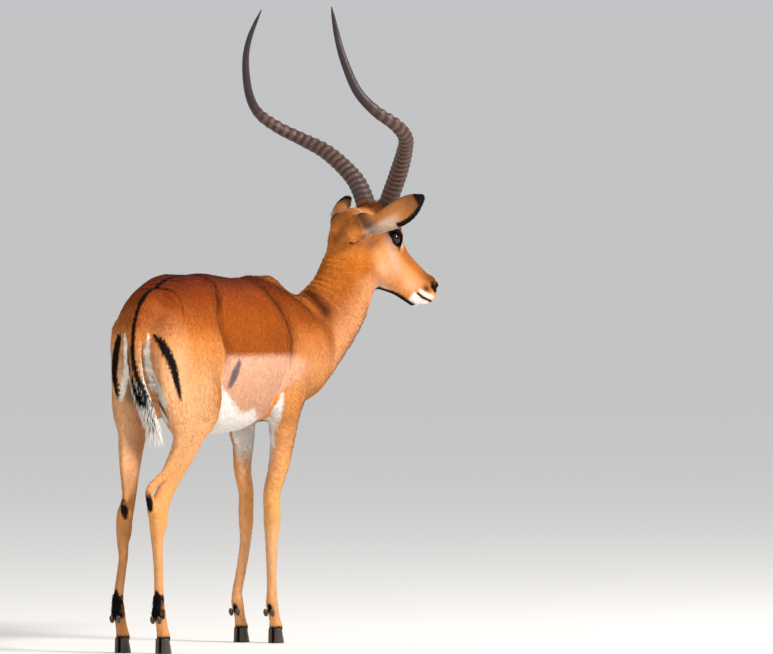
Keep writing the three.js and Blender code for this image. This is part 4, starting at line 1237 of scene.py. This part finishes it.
def build_horn(side, material):
    rows, sides = 420, 40
    line = even_line([HEAD_MIDDLE + HEADING * back + HEAD_LEFT * side * out + np.array((0, 0, up))
                      for back, out, up in HORN_LINE], rows)
    tangents = np.gradient(line, axis=0)
    tangents /= np.linalg.norm(tangents, axis=1, keepdims=True)
    across = HEAD_LEFT * side
    turn = np.arange(sides) / sides * 2 * np.pi
    points, along_all, crest_all = [], [], []
    for row in range(rows):
        along = row / (rows - 1)
        tangent = tangents[row]
        front = np.cross(across, tangent) * side
        front /= np.linalg.norm(front)
        across = np.cross(tangent, front) * side
        radius = np.interp(along, *zip(*HORN_RADII))
        # each ridge rises gently from below and drops sharply above, strongest in front
        phase = ridge_count(along) % 1
        fade = step(-along, -RIDGED_LENGTH, -RIDGED_LENGTH + 0.1) * (0.3 + 0.7 * step(along, 0.02, 0.2))
        shape = max(0.0, math.sin(math.pi * min(phase / 0.82, 1))) ** 1.6
        crest = shape * fade
        waver = 0.7 * np.sin(2 * turn + along * 29) + 0.4 * np.sin(5 * turn + along * 13)
        swell = crest * (4.0 + waver) * (1 - along * 0.6) * (0.62 + 0.38 * np.cos(turn))
        groove = -0.5 * np.cos(turn * 9) * (1 - along) * 0.6
        size = radius + swell + groove
        points.append(line[row] + np.cos(turn)[:, None] * front * size[:, None] * 1.06
                      + np.sin(turn)[:, None] * across * size[:, None] * 0.94)
        along_all.append(np.full(sides, along))
        crest_all.append(np.full(sides, crest))
    points = np.concatenate(points + [line[:1], line[-1:]])
    quads = ring_faces(rows, sides)
    k = np.arange(sides)
    base, tip = rows * sides, rows * sides + 1
    caps = [[base, (j + 1) % sides, j] for j in k] + [[tip, (rows - 1) * sides + j, (rows - 1) * sides + (j + 1) % sides] for j in k]
    faces = quads.tolist() + caps
    name = "left" if side > 0 else "right"
    piece = mesh_object(f"horn_{name}_shape", points, faces, material, [f"horn_{name}"])
    set_number(piece.data, "along", np.r_[np.concatenate(along_all), 0, 1])
    set_number(piece.data, "crest", np.r_[np.concatenate(crest_all), 0, 0])
    fix_outward(piece)
    return piece


def fix_outward(piece):
    """Turns a closed piece's faces outward."""
    import bmesh
    work = bmesh.new()
    work.from_mesh(piece.data)
    bmesh.ops.recalc_face_normals(work, faces=work.faces)
    work.to_mesh(piece.data)
    work.free()


def build_eye(side, material):
    rows, sides = 40, 56
    polar = np.linspace(0, np.pi, rows)[1:-1]
    turn = np.arange(sides) / sides * 2 * np.pi
    outward = np.cos(polar)[:, None] + 0 * turn
    forward = np.sin(polar)[:, None] * np.cos(turn)
    up = np.sin(polar)[:, None] * np.sin(turn)
    bulge = 1 + 0.05 * step(outward, 0.72, 0.95)
    middle = on_head(EYE_PLACE[0], side * EYE_PLACE[1], EYE_PLACE[2])
    def place(f, l, u):
        return middle + EYE_RADIUS * (np.outer(f, HEAD_FORWARD) + np.outer(l * side, HEAD_LEFT) + np.outer(u, HEAD_UP))
    points = np.concatenate((place((forward * bulge).ravel(), (outward * bulge).ravel(), (up * bulge).ravel()),
                             place([0], np.array([1.05]), [0]), place([0], np.array([-1.0]), [0])))
    quads = ring_faces(len(polar), sides).tolist()
    last = (len(polar) - 1) * sides
    top, bottom = len(polar) * sides, len(polar) * sides + 1
    caps = [[top, j, (j + 1) % sides] for j in range(sides)]
    caps += [[bottom, last + (j + 1) % sides, last + j] for j in range(sides)]
    name = "left" if side > 0 else "right"
    piece = mesh_object(f"eye_{name}_ball", points, quads + caps, material, [f"eye_{name}"])
    radius = np.sqrt(forward ** 2 + up ** 2)
    pupil = np.sqrt((forward / 0.42) ** 2 + (up / 0.2) ** 2)
    iris = step(pupil, 0.9, 1.15) * step(-radius, -0.72, -0.6) * (outward > 0)
    set_number(piece.data, "iris", np.r_[iris.ravel(), 0, 0])
    fix_outward(piece)
    return piece


CLAW_LENGTH, CLAW_WIDTH, CLAW_SPLIT = 54.0, 19.0, 2.0


def build_claw(leg, side, fetlock, outer, material):
    """One claw: a flat sole, a sloping wall with a worn lower edge, and a rounded heel."""
    sides = 40
    top = CORONET_HEIGHT - 0.3
    rows = [(0, 0.93), (0.8, 0.98), (2.5, 1.0), (top * 0.3, 0.965), (top * 0.6, 0.92), (top * 0.9, 0.865), (top, 0.84)]
    turn = np.arange(sides) / sides * 2 * np.pi
    points = []
    for height, fullness in rows:
        rise = height / top
        heel = 23 - 2 * rise
        toe = heel - CLAW_LENGTH * (1 - 0.42 * rise) * (0.94 + 0.06 * fullness)
        back = (1 + np.cos(turn)) / 2
        bulge = np.where(np.sin(turn) > 0, np.sin(turn) * CLAW_WIDTH * fullness * back ** 0.35, 0)
        hollow = np.where(np.sin(turn) < 0, np.sin(turn) * 0.6, 0)
        points.append(np.stack((bulge + hollow + 0.6, toe + (heel - toe) * back, np.full(sides, height)), axis=1))
    points = np.concatenate(points + [[(7, 0, 0)], [(6, 6, top)]])
    last = (len(rows) - 1) * sides
    faces = ring_faces(len(rows), sides).tolist()
    bottom, crown = len(rows) * sides, len(rows) * sides + 1
    faces += [[bottom, (j + 1) % sides, j] for j in range(sides)]
    faces += [[crown, last + j, last + (j + 1) % sides] for j in range(sides)]
    points[:, 0] *= outer
    angle = math.radians(-4 * outer)
    turned = points.copy()
    turned[:, 0] = points[:, 0] * math.cos(angle) - points[:, 1] * math.sin(angle)
    turned[:, 1] = points[:, 0] * math.sin(angle) + points[:, 1] * math.cos(angle)
    turned += (fetlock[0] + outer * CLAW_SPLIT, fetlock[1] - 26, 0)
    side_name = "left" if side > 0 else "right"
    place = "outer" if outer * side > 0 else "inner"
    piece = mesh_object(f"claw_{leg}_{side_name}_{place}", turned, faces, material,
                        [f"hoof_{leg}_{side_name}_{place}"])
    fix_outward(piece)
    return piece


def build_dewclaws(material):
    """The two small claws behind each fetlock, in one piece."""
    sphere_rows, sides = 9, 14
    polar = np.linspace(0.12, np.pi - 0.12, sphere_rows)
    turn = np.arange(sides) / sides * 2 * np.pi
    unit = np.stack((np.outer(np.sin(polar), np.cos(turn)), np.outer(np.sin(polar), np.sin(turn)),
                     np.outer(np.cos(polar), np.ones(sides))), axis=-1).reshape(-1, 3)
    faces_one = ring_faces(sphere_rows, sides)
    points, faces = [], []
    lean = math.radians(-28)
    for name, side, joints in LEGS:
        fx, fy = joints["fetlock"]
        height = 76 if name == "fore" else 82
        for outer in (-1, 1):
            shape = unit * (5.4, 7, 10.5)
            y = shape[:, 1] * math.cos(lean) - shape[:, 2] * math.sin(lean)
            z = shape[:, 1] * math.sin(lean) + shape[:, 2] * math.cos(lean)
            start = len(points) * len(unit)
            points.append(np.stack((shape[:, 0] + fx + outer * 9, y + fy + 17, z + height), axis=1))
            faces += (faces_one + start).tolist()
            faces.append(list(range(start, start + sides)))
            last = start + (sphere_rows - 1) * sides
            faces.append(list(range(last + sides - 1, last - 1, -1)))
    piece = mesh_object("dewclaws", np.concatenate(points), faces, material)
    fix_outward(piece)
    return piece

# ------------------------------------------------------------------ short hair


class Coat:
    """The skin's triangles, for choosing the roots of hairs on it."""

    def __init__(self, points, quads, normals, region, unwrap):
        self.points, self.normals, self.region, self.unwrap = points, normals, region, unwrap
        self.faces = np.concatenate((quads[:, [0, 1, 2]], quads[:, [0, 2, 3]]))
        a, b, c = (points[self.faces[:, k]] for k in range(3))
        self.area = np.linalg.norm(np.cross(b - a, c - a), axis=1) / 2
        self.middle = (a + b + c) / 3
        self.face_region = region[self.faces[:, 0]]

    def roots(self, count, weight):
        """Random places on the skin, as dense as the weight given for each face."""
        chance = self.area * weight
        chosen = rng.choice(len(chance), count, p=chance / chance.sum())
        u, v = rng.random((2, count))
        flip = u + v > 1
        u[flip], v[flip] = 1 - u[flip], 1 - v[flip]
        parts = np.stack((1 - u - v, u, v), axis=1)[:, :, None]
        corners = self.faces[chosen]
        places = (self.points[corners] * parts).sum(axis=1)
        normals = (self.normals[corners] * parts).sum(axis=1)
        normals /= np.linalg.norm(normals, axis=1, keepdims=True)
        return places, normals, self.face_region[chosen]


def unit(vectors):
    return vectors / np.maximum(np.linalg.norm(vectors, axis=1, keepdims=True), 1e-9)


def build_tufts(name, coat, count, weight, length, width, lift, material):
    """Flat tapering tufts that lie along the skin, each a closed wedge of four faces."""
    roots, normals, region = coat.roots(count, weight)
    flow = lie(roots, region)
    flow = unit(flow - (flow * normals).sum(axis=1, keepdims=True) * normals)
    sideways = np.cross(normals, flow)
    sway = rng.normal(0, 0.16, count)[:, None]
    flow = unit(flow + sideways * sway)
    sideways = np.cross(normals, flow)
    scale = rng.uniform(0.75, 1.25, count)[:, None]
    long = length(roots, region)[:, None] * scale
    wide = width(roots, region)[:, None] * rng.uniform(0.8, 1.2, count)[:, None]
    rise = lift(roots, region)[:, None] * rng.uniform(0.3, 1.0, count)[:, None]
    keep = clear_of_openings(roots + flow * long * 0.8) & clear_of_openings(roots)
    roots, normals, region, flow, sideways, long, wide, rise = (
        values[keep] for values in (roots, normals, region, flow, sideways, long, wide, rise))
    count = len(roots)
    sunk = roots - normals * 0.5
    left = sunk + sideways * wide / 2
    right = sunk - sideways * wide / 2
    ridge = roots + flow * long * 0.35 + normals * (0.35 + rise * 0.6)
    tip = roots + flow * long + normals * rise
    points = np.stack((left, right, ridge, tip), axis=1).reshape(-1, 3)
    start = np.arange(count)[:, None, None] * 4
    faces = (start + np.array([(0, 1, 2), (0, 2, 3), (2, 1, 3), (0, 3, 1)])[None]).reshape(-1, 3)
    piece = mesh_object(name, points, faces, material)
    middles = roots + flow * long * 0.45
    colour, dark, white = coat_paint(middles, normals, region)
    colour = colour * rng.normal(1.0, 0.07, count).clip(0.8, 1.2)[:, None]
    set_colour(piece.data, "ground", np.repeat(colour, 4, axis=0))
    set_number(piece.data, "dark", np.repeat(dark, 4))
    set_number(piece.data, "white", np.repeat(white, 4))
    spots = coat.unwrap.place(roots, normals, region)
    patch = np.array(((-1, -1), (1, -1), (0, 0), (0, 1))) * 0.0015
    spots = (spots[:, None, :] + patch[None]).reshape(-1, 2)
    layer = piece.data.uv_layers.new(name="OFBake")
    layer.data.foreach_set("uv", spots[faces.ravel()].astype(np.float32).ravel())
    piece.data.normals_split_custom_set_from_vertices(np.repeat(unit(normals - flow * 0.12), 4, axis=0).tolist())
    return piece


def clear_of_openings(points):
    """Which points stay out of the gape of the lids, the nostrils and the mouth."""
    forward, left, up = to_head(points).T
    outward = np.abs(left)
    eye = (almond_distance(forward - EYE_PLACE[0], up - EYE_PLACE[2]) > 4.5) | (outward < 20)
    eye |= ((forward - EYE_PLACE[0]) ** 2 + (up - EYE_PLACE[2]) ** 2) > 30 ** 2
    nose = np.sqrt((forward - NOSTRIL[0]) ** 2 + (outward - NOSTRIL[1]) ** 2 + (up - NOSTRIL[2]) ** 2) > 11
    folded = np.stack((forward, outward, up), axis=1)
    lips = (tube_distance(folded, np.array(MOUTH_LINE, float), 0) > 3) | (forward < 120)
    leather = (forward < 180) | (up < -75)
    return eye & nose & lips & leather & (points[:, 2] > CORONET_HEIGHT + 1)


def fineness(points, region):
    """From 0 on the body to 1 at the muzzle and the feet, where the hair is shortest."""
    forward = to_head(points)[:, 0]
    face = np.where(region == HEAD_REGION, step(forward, -110, 20), 0)
    ears = np.isin(region, (1, 2)) * 0.9
    feet = step(-points[:, 2], -560, -330)
    return np.maximum.reduce((face, ears, feet))


def tuft_length(points, region):
    return 13.0 - 8.0 * fineness(points, region)


def tuft_width(points, region):
    return 2.9 - 1.6 * fineness(points, region)


def tuft_lift(points, region):
    return 1.9 - 1.3 * fineness(points, region)


# ------------------------------------------------------------------ long hair


def build_strands(name, paths, thick, material, paint_region=None, coat=None, replaced=(), tone=None):
    """Tapering hairs of three sides along the paths (hair, station, xyz), with closed ends."""
    count, stations, _ = paths.shape
    tangents = np.gradient(paths, axis=1)
    tangents /= np.maximum(np.linalg.norm(tangents, axis=2, keepdims=True), 1e-9)
    helper = np.where(np.abs(tangents[..., :1]) > 0.9, (0.0, 1.0, 0.0), (1.0, 0.0, 0.0))
    first = np.cross(tangents, helper)
    first /= np.linalg.norm(first, axis=2, keepdims=True)
    second = np.cross(tangents, first)
    along = np.linspace(0, 1, stations)
    taper = np.sqrt(np.clip(1.03 - along ** 2.2, 0, 1)).clip(0.3, 1)
    spin = rng.uniform(0, 2 * np.pi, count)
    rings = []
    for corner in range(3):
        angle = spin + corner * 2 * np.pi / 3
        size = (thick[:, None] / 2 * taper)[:, :, None]
        rings.append(paths + size * (np.cos(angle)[:, None, None] * first + np.sin(angle)[:, None, None] * second))
    points = np.stack(rings, axis=2).reshape(-1, 3)
    one = []
    for station in range(stations - 1):
        a, b = station * 3, station * 3 + 3
        for k in range(3):
            n = (k + 1) % 3
            one += [(a + k, b + n, b + k), (a + k, a + n, b + n)]
    last = (stations - 1) * 3
    one += [(0, 2, 1), (last, last + 1, last + 2)]
    faces = (np.arange(count)[:, None, None] * stations * 3 + np.array(one)[None]).reshape(-1, 3)
    piece = mesh_object(name, points, faces, material, replaced)
    tones = rng.normal(1.0, 0.08, count).clip(0.78, 1.2)
    per_hair = stations * 3
    colour, dark, white = tone(paths, along, tones)
    set_colour(piece.data, "ground", np.repeat(colour.reshape(-1, 3), 3, axis=0))
    set_number(piece.data, "dark", np.repeat(dark.reshape(-1), 3))
    set_number(piece.data, "white", np.repeat(white.reshape(-1), 3))
    # each hair has a small patch of its own on the map
    across = int(math.ceil(math.sqrt(count)))
    cell = np.stack((np.arange(count) % across, np.arange(count) // across), axis=1) / across
    inside = np.stack(np.meshgrid(np.arange(3) / 3, along, indexing="xy"), axis=-1).reshape(-1, 2)
    spots = (cell[:, None, :] + inside[None] * 0.8 / across + 0.1 / across).reshape(-1, 2)
    layer = piece.data.uv_layers.new(name="OFBake")
    layer.data.foreach_set("uv", spots[faces.ravel()].astype(np.float32).ravel())
    return piece


def plain_tone(colour, dark=20.0, white=20.0):
    """A tone function for hairs of one colour."""
    def tone(paths, along, tones):
        count, stations = paths.shape[:2]
        shade = np.repeat((np.array(colour)[None] * tones[:, None])[:, None, :], stations, axis=1)
        return shade, np.full((count, stations), min(dark, 8)), np.full((count, stations), min(white, 8))
    return tone


def curved_paths(roots, first, last, length, stations):
    """Paths that set out one way and turn to another."""
    t = np.linspace(0, 1, stations)[None, :, None]
    travel = t * first[:, None, :] * (1 - 0.5 * t) + 0.5 * t * t * last[:, None, :]
    return roots[:, None, :] + travel * length[:, None, None]


def build_tail_hair(material):
    """The tail's fringe and its white brush, hanging from both sides and from the end."""
    count = 2600
    share = 1 - rng.random(count) ** 0.7 * 0.62
    line = TAIL_LINE
    at = share * (len(line) - 1)
    low = np.minimum(at.astype(int), len(line) - 2)
    part = (at - low)[:, None]
    centre = line[low, :3] * (1 - part) + line[low + 1, :3] * part
    half = line[low, 3:5] * (1 - part) + line[low + 1, 3:5] * part
    turn = rng.uniform(0, 2 * np.pi, count)
    outward = np.stack((np.cos(turn), np.sin(turn), 0 * turn), axis=1)
    roots = centre + outward * np.stack((half[:, 0], half[:, 1], 0 * turn), axis=1) * 0.9
    down = unit(np.array((-0.12, 0.02, -1.0)) + rng.normal(0, 0.06, (count, 3)))
    first = unit(down + outward * np.array((0.35, 0.25, 0)))
    length = np.interp(share, (0.38, 0.6, 0.85, 1), (16, 26, 44, 60)) * rng.uniform(0.6, 1.05, count)
    paths = curved_paths(roots, first, down, length, 6)
    thick = rng.uniform(0.9, 1.5, count)

    def tone(paths, along, tones):
        behind = (outward[:, 1] > 0.35) & (np.abs(outward[:, 0]) < 0.75) & (share < 0.93)
        tan = (share < 0.5) & ~behind
        colour = np.where(tan[:, None], PEACH, WHITE_HAIR) * tones[:, None]
        colour = np.repeat(colour[:, None, :], 6, axis=1)
        dark = np.where(behind[:, None], -3, 8) + 6 * along[None] * (share > 0.75)[:, None]
        return colour, dark, np.full(dark.shape, 8.0)
    return build_strands("tail_hair", paths, thick, material, replaced=["tail_brush"], tone=tone)


def build_ear_hair(material):
    """Pale hairs that stand across the ears' openings from their front and rear edges."""
    all_paths, all_thick = [], []
    for side in (-1, 1):
        root, axis, opening, wide = EAR_FRAMES[side]
        count = 1100
        share = rng.uniform(0.18, 0.82, count)
        edge = rng.choice((-1, 1), count)
        half = np.interp(share, EAR_SMOOTH[:, 0], EAR_SMOOTH[:, 1]) * EAR_SHARE_OF_WIDTH[side] - EAR_WALL
        depth = np.interp(share, EAR_SMOOTH[:, 0], EAR_SMOOTH[:, 2]) - EAR_WALL
        turn = rng.uniform(0.15, 1.25, count) * edge
        roots = (root + axis * (share * EAR_LENGTH)[:, None] + opening * (14 * share ** 2)[:, None]
                 + wide * (side * EAR_SAG[side] * np.sin(np.pi * share)
                           + np.sign(turn) * half * np.cos(np.abs(turn) * 0.8) * 0.97)[:, None]
                 - opening * (depth * np.sin(np.abs(turn) * 0.8) * 0.97)[:, None])
        inward = -np.sign(turn)[:, None] * wide
        first = unit(inward * 0.5 + opening * 0.5 + axis * 0.9 + rng.normal(0, 0.15, (count, 3)))
        last = unit(inward * 0.9 + axis * 0.9 + rng.normal(0, 0.15, (count, 3)))
        length = rng.uniform(12, 30, count) * np.interp(share, (0.18, 0.5, 0.82), (1, 1, 0.55))
        all_paths.append(curved_paths(roots, first, last, length, 5))
        all_thick.append(rng.uniform(0.55, 0.9, count))
    paths, thick = np.concatenate(all_paths), np.concatenate(all_thick)
    return build_strands("ear_hair", paths, thick, material, tone=plain_tone(CREAM))


def build_gland_hair(material):
    """The black tufts above the hind fetlocks."""
    all_paths, all_thick = [], []
    for name, side, joints in LEGS:
        if name != "hind":
            continue
        fx, fy = joints["fetlock"]
        count = 700
        z = rng.uniform(90, 146, count)
        turn = rng.uniform(-1.7, 1.7, count)
        reach = np.interp(z, (90, 104, 146), (16, 16, 11.5))
        roots = np.stack((fx + np.sin(turn) * reach * 0.75, fy + np.cos(turn) * reach * 0.85, z), axis=1)
        outward = np.stack((np.sin(turn), np.cos(turn), 0 * turn), axis=1)
        first = unit(outward * 0.7 + (0, 0, -0.8) + rng.normal(0, 0.12, (count, 3)))
        last = unit(outward * 0.15 + (0, 0.1, -1) + rng.normal(0, 0.08, (count, 3)))
        length = rng.uniform(10, 22, count) * np.interp(np.abs(turn), (0, 1.7), (1, 0.5))
        all_paths.append(curved_paths(roots, first, last, length, 5))
        all_thick.append(rng.uniform(0.7, 1.1, count))
    return build_strands("gland_hair", np.concatenate(all_paths), np.concatenate(all_thick), material,
                         tone=plain_tone(BLACK_HAIR, dark=-4))


def build_lashes(material):
    """Short lashes along the upper lids."""
    all_paths = []
    for side in (-1, 1):
        middle = on_head(EYE_PLACE[0], side * EYE_PLACE[1], EYE_PLACE[2])
        turn = np.linspace(0.12, 0.9, 34) * np.pi
        forward = LID_LENGTH * np.cos(turn)
        up = LID_RISE * np.sin(turn) - 4.0 * np.cos(turn)
        outward = np.interp(turn, LID_TURNS, LID_CURVE[:, 1]) + 1.6
        roots = (middle + np.outer(forward, HEAD_FORWARD) + np.outer(outward * side, HEAD_LEFT) + np.outer(up, HEAD_UP))
        spread = np.outer(np.cos(turn), HEAD_FORWARD) * 0.5
        first = unit(spread + HEAD_LEFT * side + HEAD_UP * 0.15)
        last = unit(spread + HEAD_LEFT * side * 0.6 - HEAD_UP * 0.7)
        all_paths.append(curved_paths(roots, first, last, rng.uniform(8, 12, len(turn)), 5))
    paths = np.concatenate(all_paths)
    return build_strands("lashes", paths, np.full(len(paths), 0.7), material, tone=plain_tone(BLACK_HAIR, dark=-4))


def build_horn_collars(coat, material):
    """Longer hair that stands round the horns' roots."""
    all_paths, tones = [], []
    for side in (-1, 1):
        low, high = (HEAD_MIDDLE + HEADING * back + HEAD_LEFT * side * out + np.array((0, 0, up))
                     for back, out, up in HORN_LINE[:2])
        axis = (high - low) / np.linalg.norm(high - low)
        offset = coat.middle - low
        along = offset @ axis
        gap = np.linalg.norm(offset - along[:, None] * axis, axis=1)
        above_eyes = to_head(coat.middle)[:, 2] > 24
        weight = (above_eyes & (along > -60) & (along < 60) & (gap < HORN_BASE_RADIUS + 9)
                  & (gap > HORN_BASE_RADIUS - 5) & (coat.face_region == HEAD_REGION)).astype(float)
        if weight.sum() == 0:
            continue
        roots, normals, region = coat.roots(900, weight)
        first = unit(normals * 0.7 + axis * 0.5 - HEAD_FORWARD * 0.4 + rng.normal(0, 0.15, roots.shape))
        last = unit(axis * 0.8 - HEAD_FORWARD * 0.6 + rng.normal(0, 0.12, roots.shape))
        all_paths.append(curved_paths(roots - normals * 0.5, first, last, rng.uniform(8, 17, len(roots)), 4))
    paths = np.concatenate(all_paths)
    thick = rng.uniform(0.7, 1.1, len(paths))
    return build_strands("horn_collars", paths, thick, material, tone=plain_tone(mixed(ORANGE[None], GREY_BROWN, np.array([0.6]))[0]))


LID_TURNS = np.linspace(0, 2 * np.pi, 28)

# ------------------------------------------------------------------ the studio


AMBIENT = 0.64
FLOOR_TINT = (0.88, 0.87, 0.85)
BACKDROP = 0.56


def build_stage():
    material, tree, shader = nodes_of("floor")
    shader.inputs["Base Color"].default_value = (*FLOOR_TINT, 1)
    shader.inputs["Roughness"].default_value = 0.9
    side = 2500.0
    mesh = bpy.data.meshes.new("floor")
    mesh.from_pydata([(-side, -side, 0), (side, -side, 0), (side, side, 0), (-side, side, 0)], [], [(0, 1, 2, 3)])
    mesh.materials.append(material)
    floor = bpy.data.objects.new("floor", mesh)
    bpy.context.scene.collection.objects.link(floor)
    world = bpy.data.worlds.new("studio")
    world.use_nodes = True
    tree = world.node_tree
    tree.nodes["Background"].inputs["Color"].default_value = (0.97, 0.98, 1.0, 1)
    seen = add(tree, "ShaderNodeLightPath").outputs["Is Camera Ray"]
    strength = math_node(tree, "MULTIPLY_ADD", seen, BACKDROP - AMBIENT, AMBIENT)
    tree.links.new(strength, tree.nodes["Background"].inputs["Strength"])
    bpy.context.scene.world = world


def add_area_light(name, place, target, size, watts, colour):
    light = bpy.data.lights.new(name, "AREA")
    light.shape = "SQUARE"
    light.size = size
    light.energy = watts
    light.color = colour
    lamp = bpy.data.objects.new(name, light)
    lamp.location = place
    lamp.rotation_euler = (Vector(target) - Vector(place)).to_track_quat("-Z", "Y").to_euler()
    bpy.context.scene.collection.objects.link(lamp)


# the camera stands behind the animal and to its right, level with its back, about 20 m away
CAMERA_PLACE = (-9.08, 17.82, 0.929)
VIEW_AHEAD = np.array((0.454, -0.891, 0.0))
VIEW_RIGHT = np.array((-0.891, -0.454, 0.0))
VIEW_YAW = 1.336
VIEW_PITCH = 0.430
LENS = 384.7


def build_camera():
    camera = bpy.data.cameras.new("camera")
    camera.sensor_width = 36
    camera.lens = LENS
    camera.clip_end = 4000
    body = bpy.data.objects.new("camera", camera)
    body.location = Vector(CAMERA_PLACE) + Vector(SHIFT * 0.001)
    turn, dip = math.radians(VIEW_YAW), math.radians(VIEW_PITCH)
    level = VIEW_AHEAD * math.cos(turn) + VIEW_RIGHT * math.sin(turn)
    aim = Vector(level * math.cos(dip)) - Vector((0, 0, math.sin(dip)))
    body.rotation_euler = aim.to_track_quat("-Z", "Y").to_euler()
    bpy.context.scene.collection.objects.link(body)
    bpy.context.scene.camera = body


# ------------------------------------------------------------------ the whole animal

coat_look = coat_material()
skin, points, quads, normals, region, unwrap = build_skin(coat_look)
coat = Coat(points, quads, normals, region, unwrap)

horn_look = horn_material()
eye_look = eye_material()
hoof_look = hoof_material()
for side in (-1, 1):
    build_horn(side, horn_look)
    build_eye(side, eye_look)
for leg, side, joints in LEGS:
    for outer in (-1, 1):
        build_claw(leg, side, joints["fetlock"], outer, hoof_look)
build_dewclaws(hoof_look)

on_head_faces = np.isin(coat.face_region, (HEAD_REGION, 1, 2))
height = coat.middle[:, 2]
front = coat.middle[:, 1] < -170
PARTS = [
    ("coat_head", 46000, on_head_faces),
    ("coat_front", 46000, ~on_head_faces & (height > 540) & front),
    ("coat_rear", 46000, ~on_head_faces & (height > 540) & ~front),
    ("coat_legs", 40000, ~on_head_faces & (height <= 540)),
]
share = 1.0
for name, count, chosen in PARTS:
    build_tufts(name, coat, int(count * share), chosen.astype(float), tuft_length, tuft_width, tuft_lift, coat_look)
build_tail_hair(coat_look)
build_ear_hair(coat_look)
build_gland_hair(coat_look)
build_lashes(coat_look)
build_horn_collars(coat, coat_look)

build_stage()
bpy.context.scene.view_settings.view_transform = "Standard"
add_area_light("key", (-7.4, 1.05, 5.75), (0, 0, 0.7), 2.2, 870, (1.0, 0.95, 0.88))
add_area_light("fill", (5.0, 10.0, 4.5), (0, 0, 0.7), 6.0, 150, (0.95, 0.97, 1.0))
build_camera()
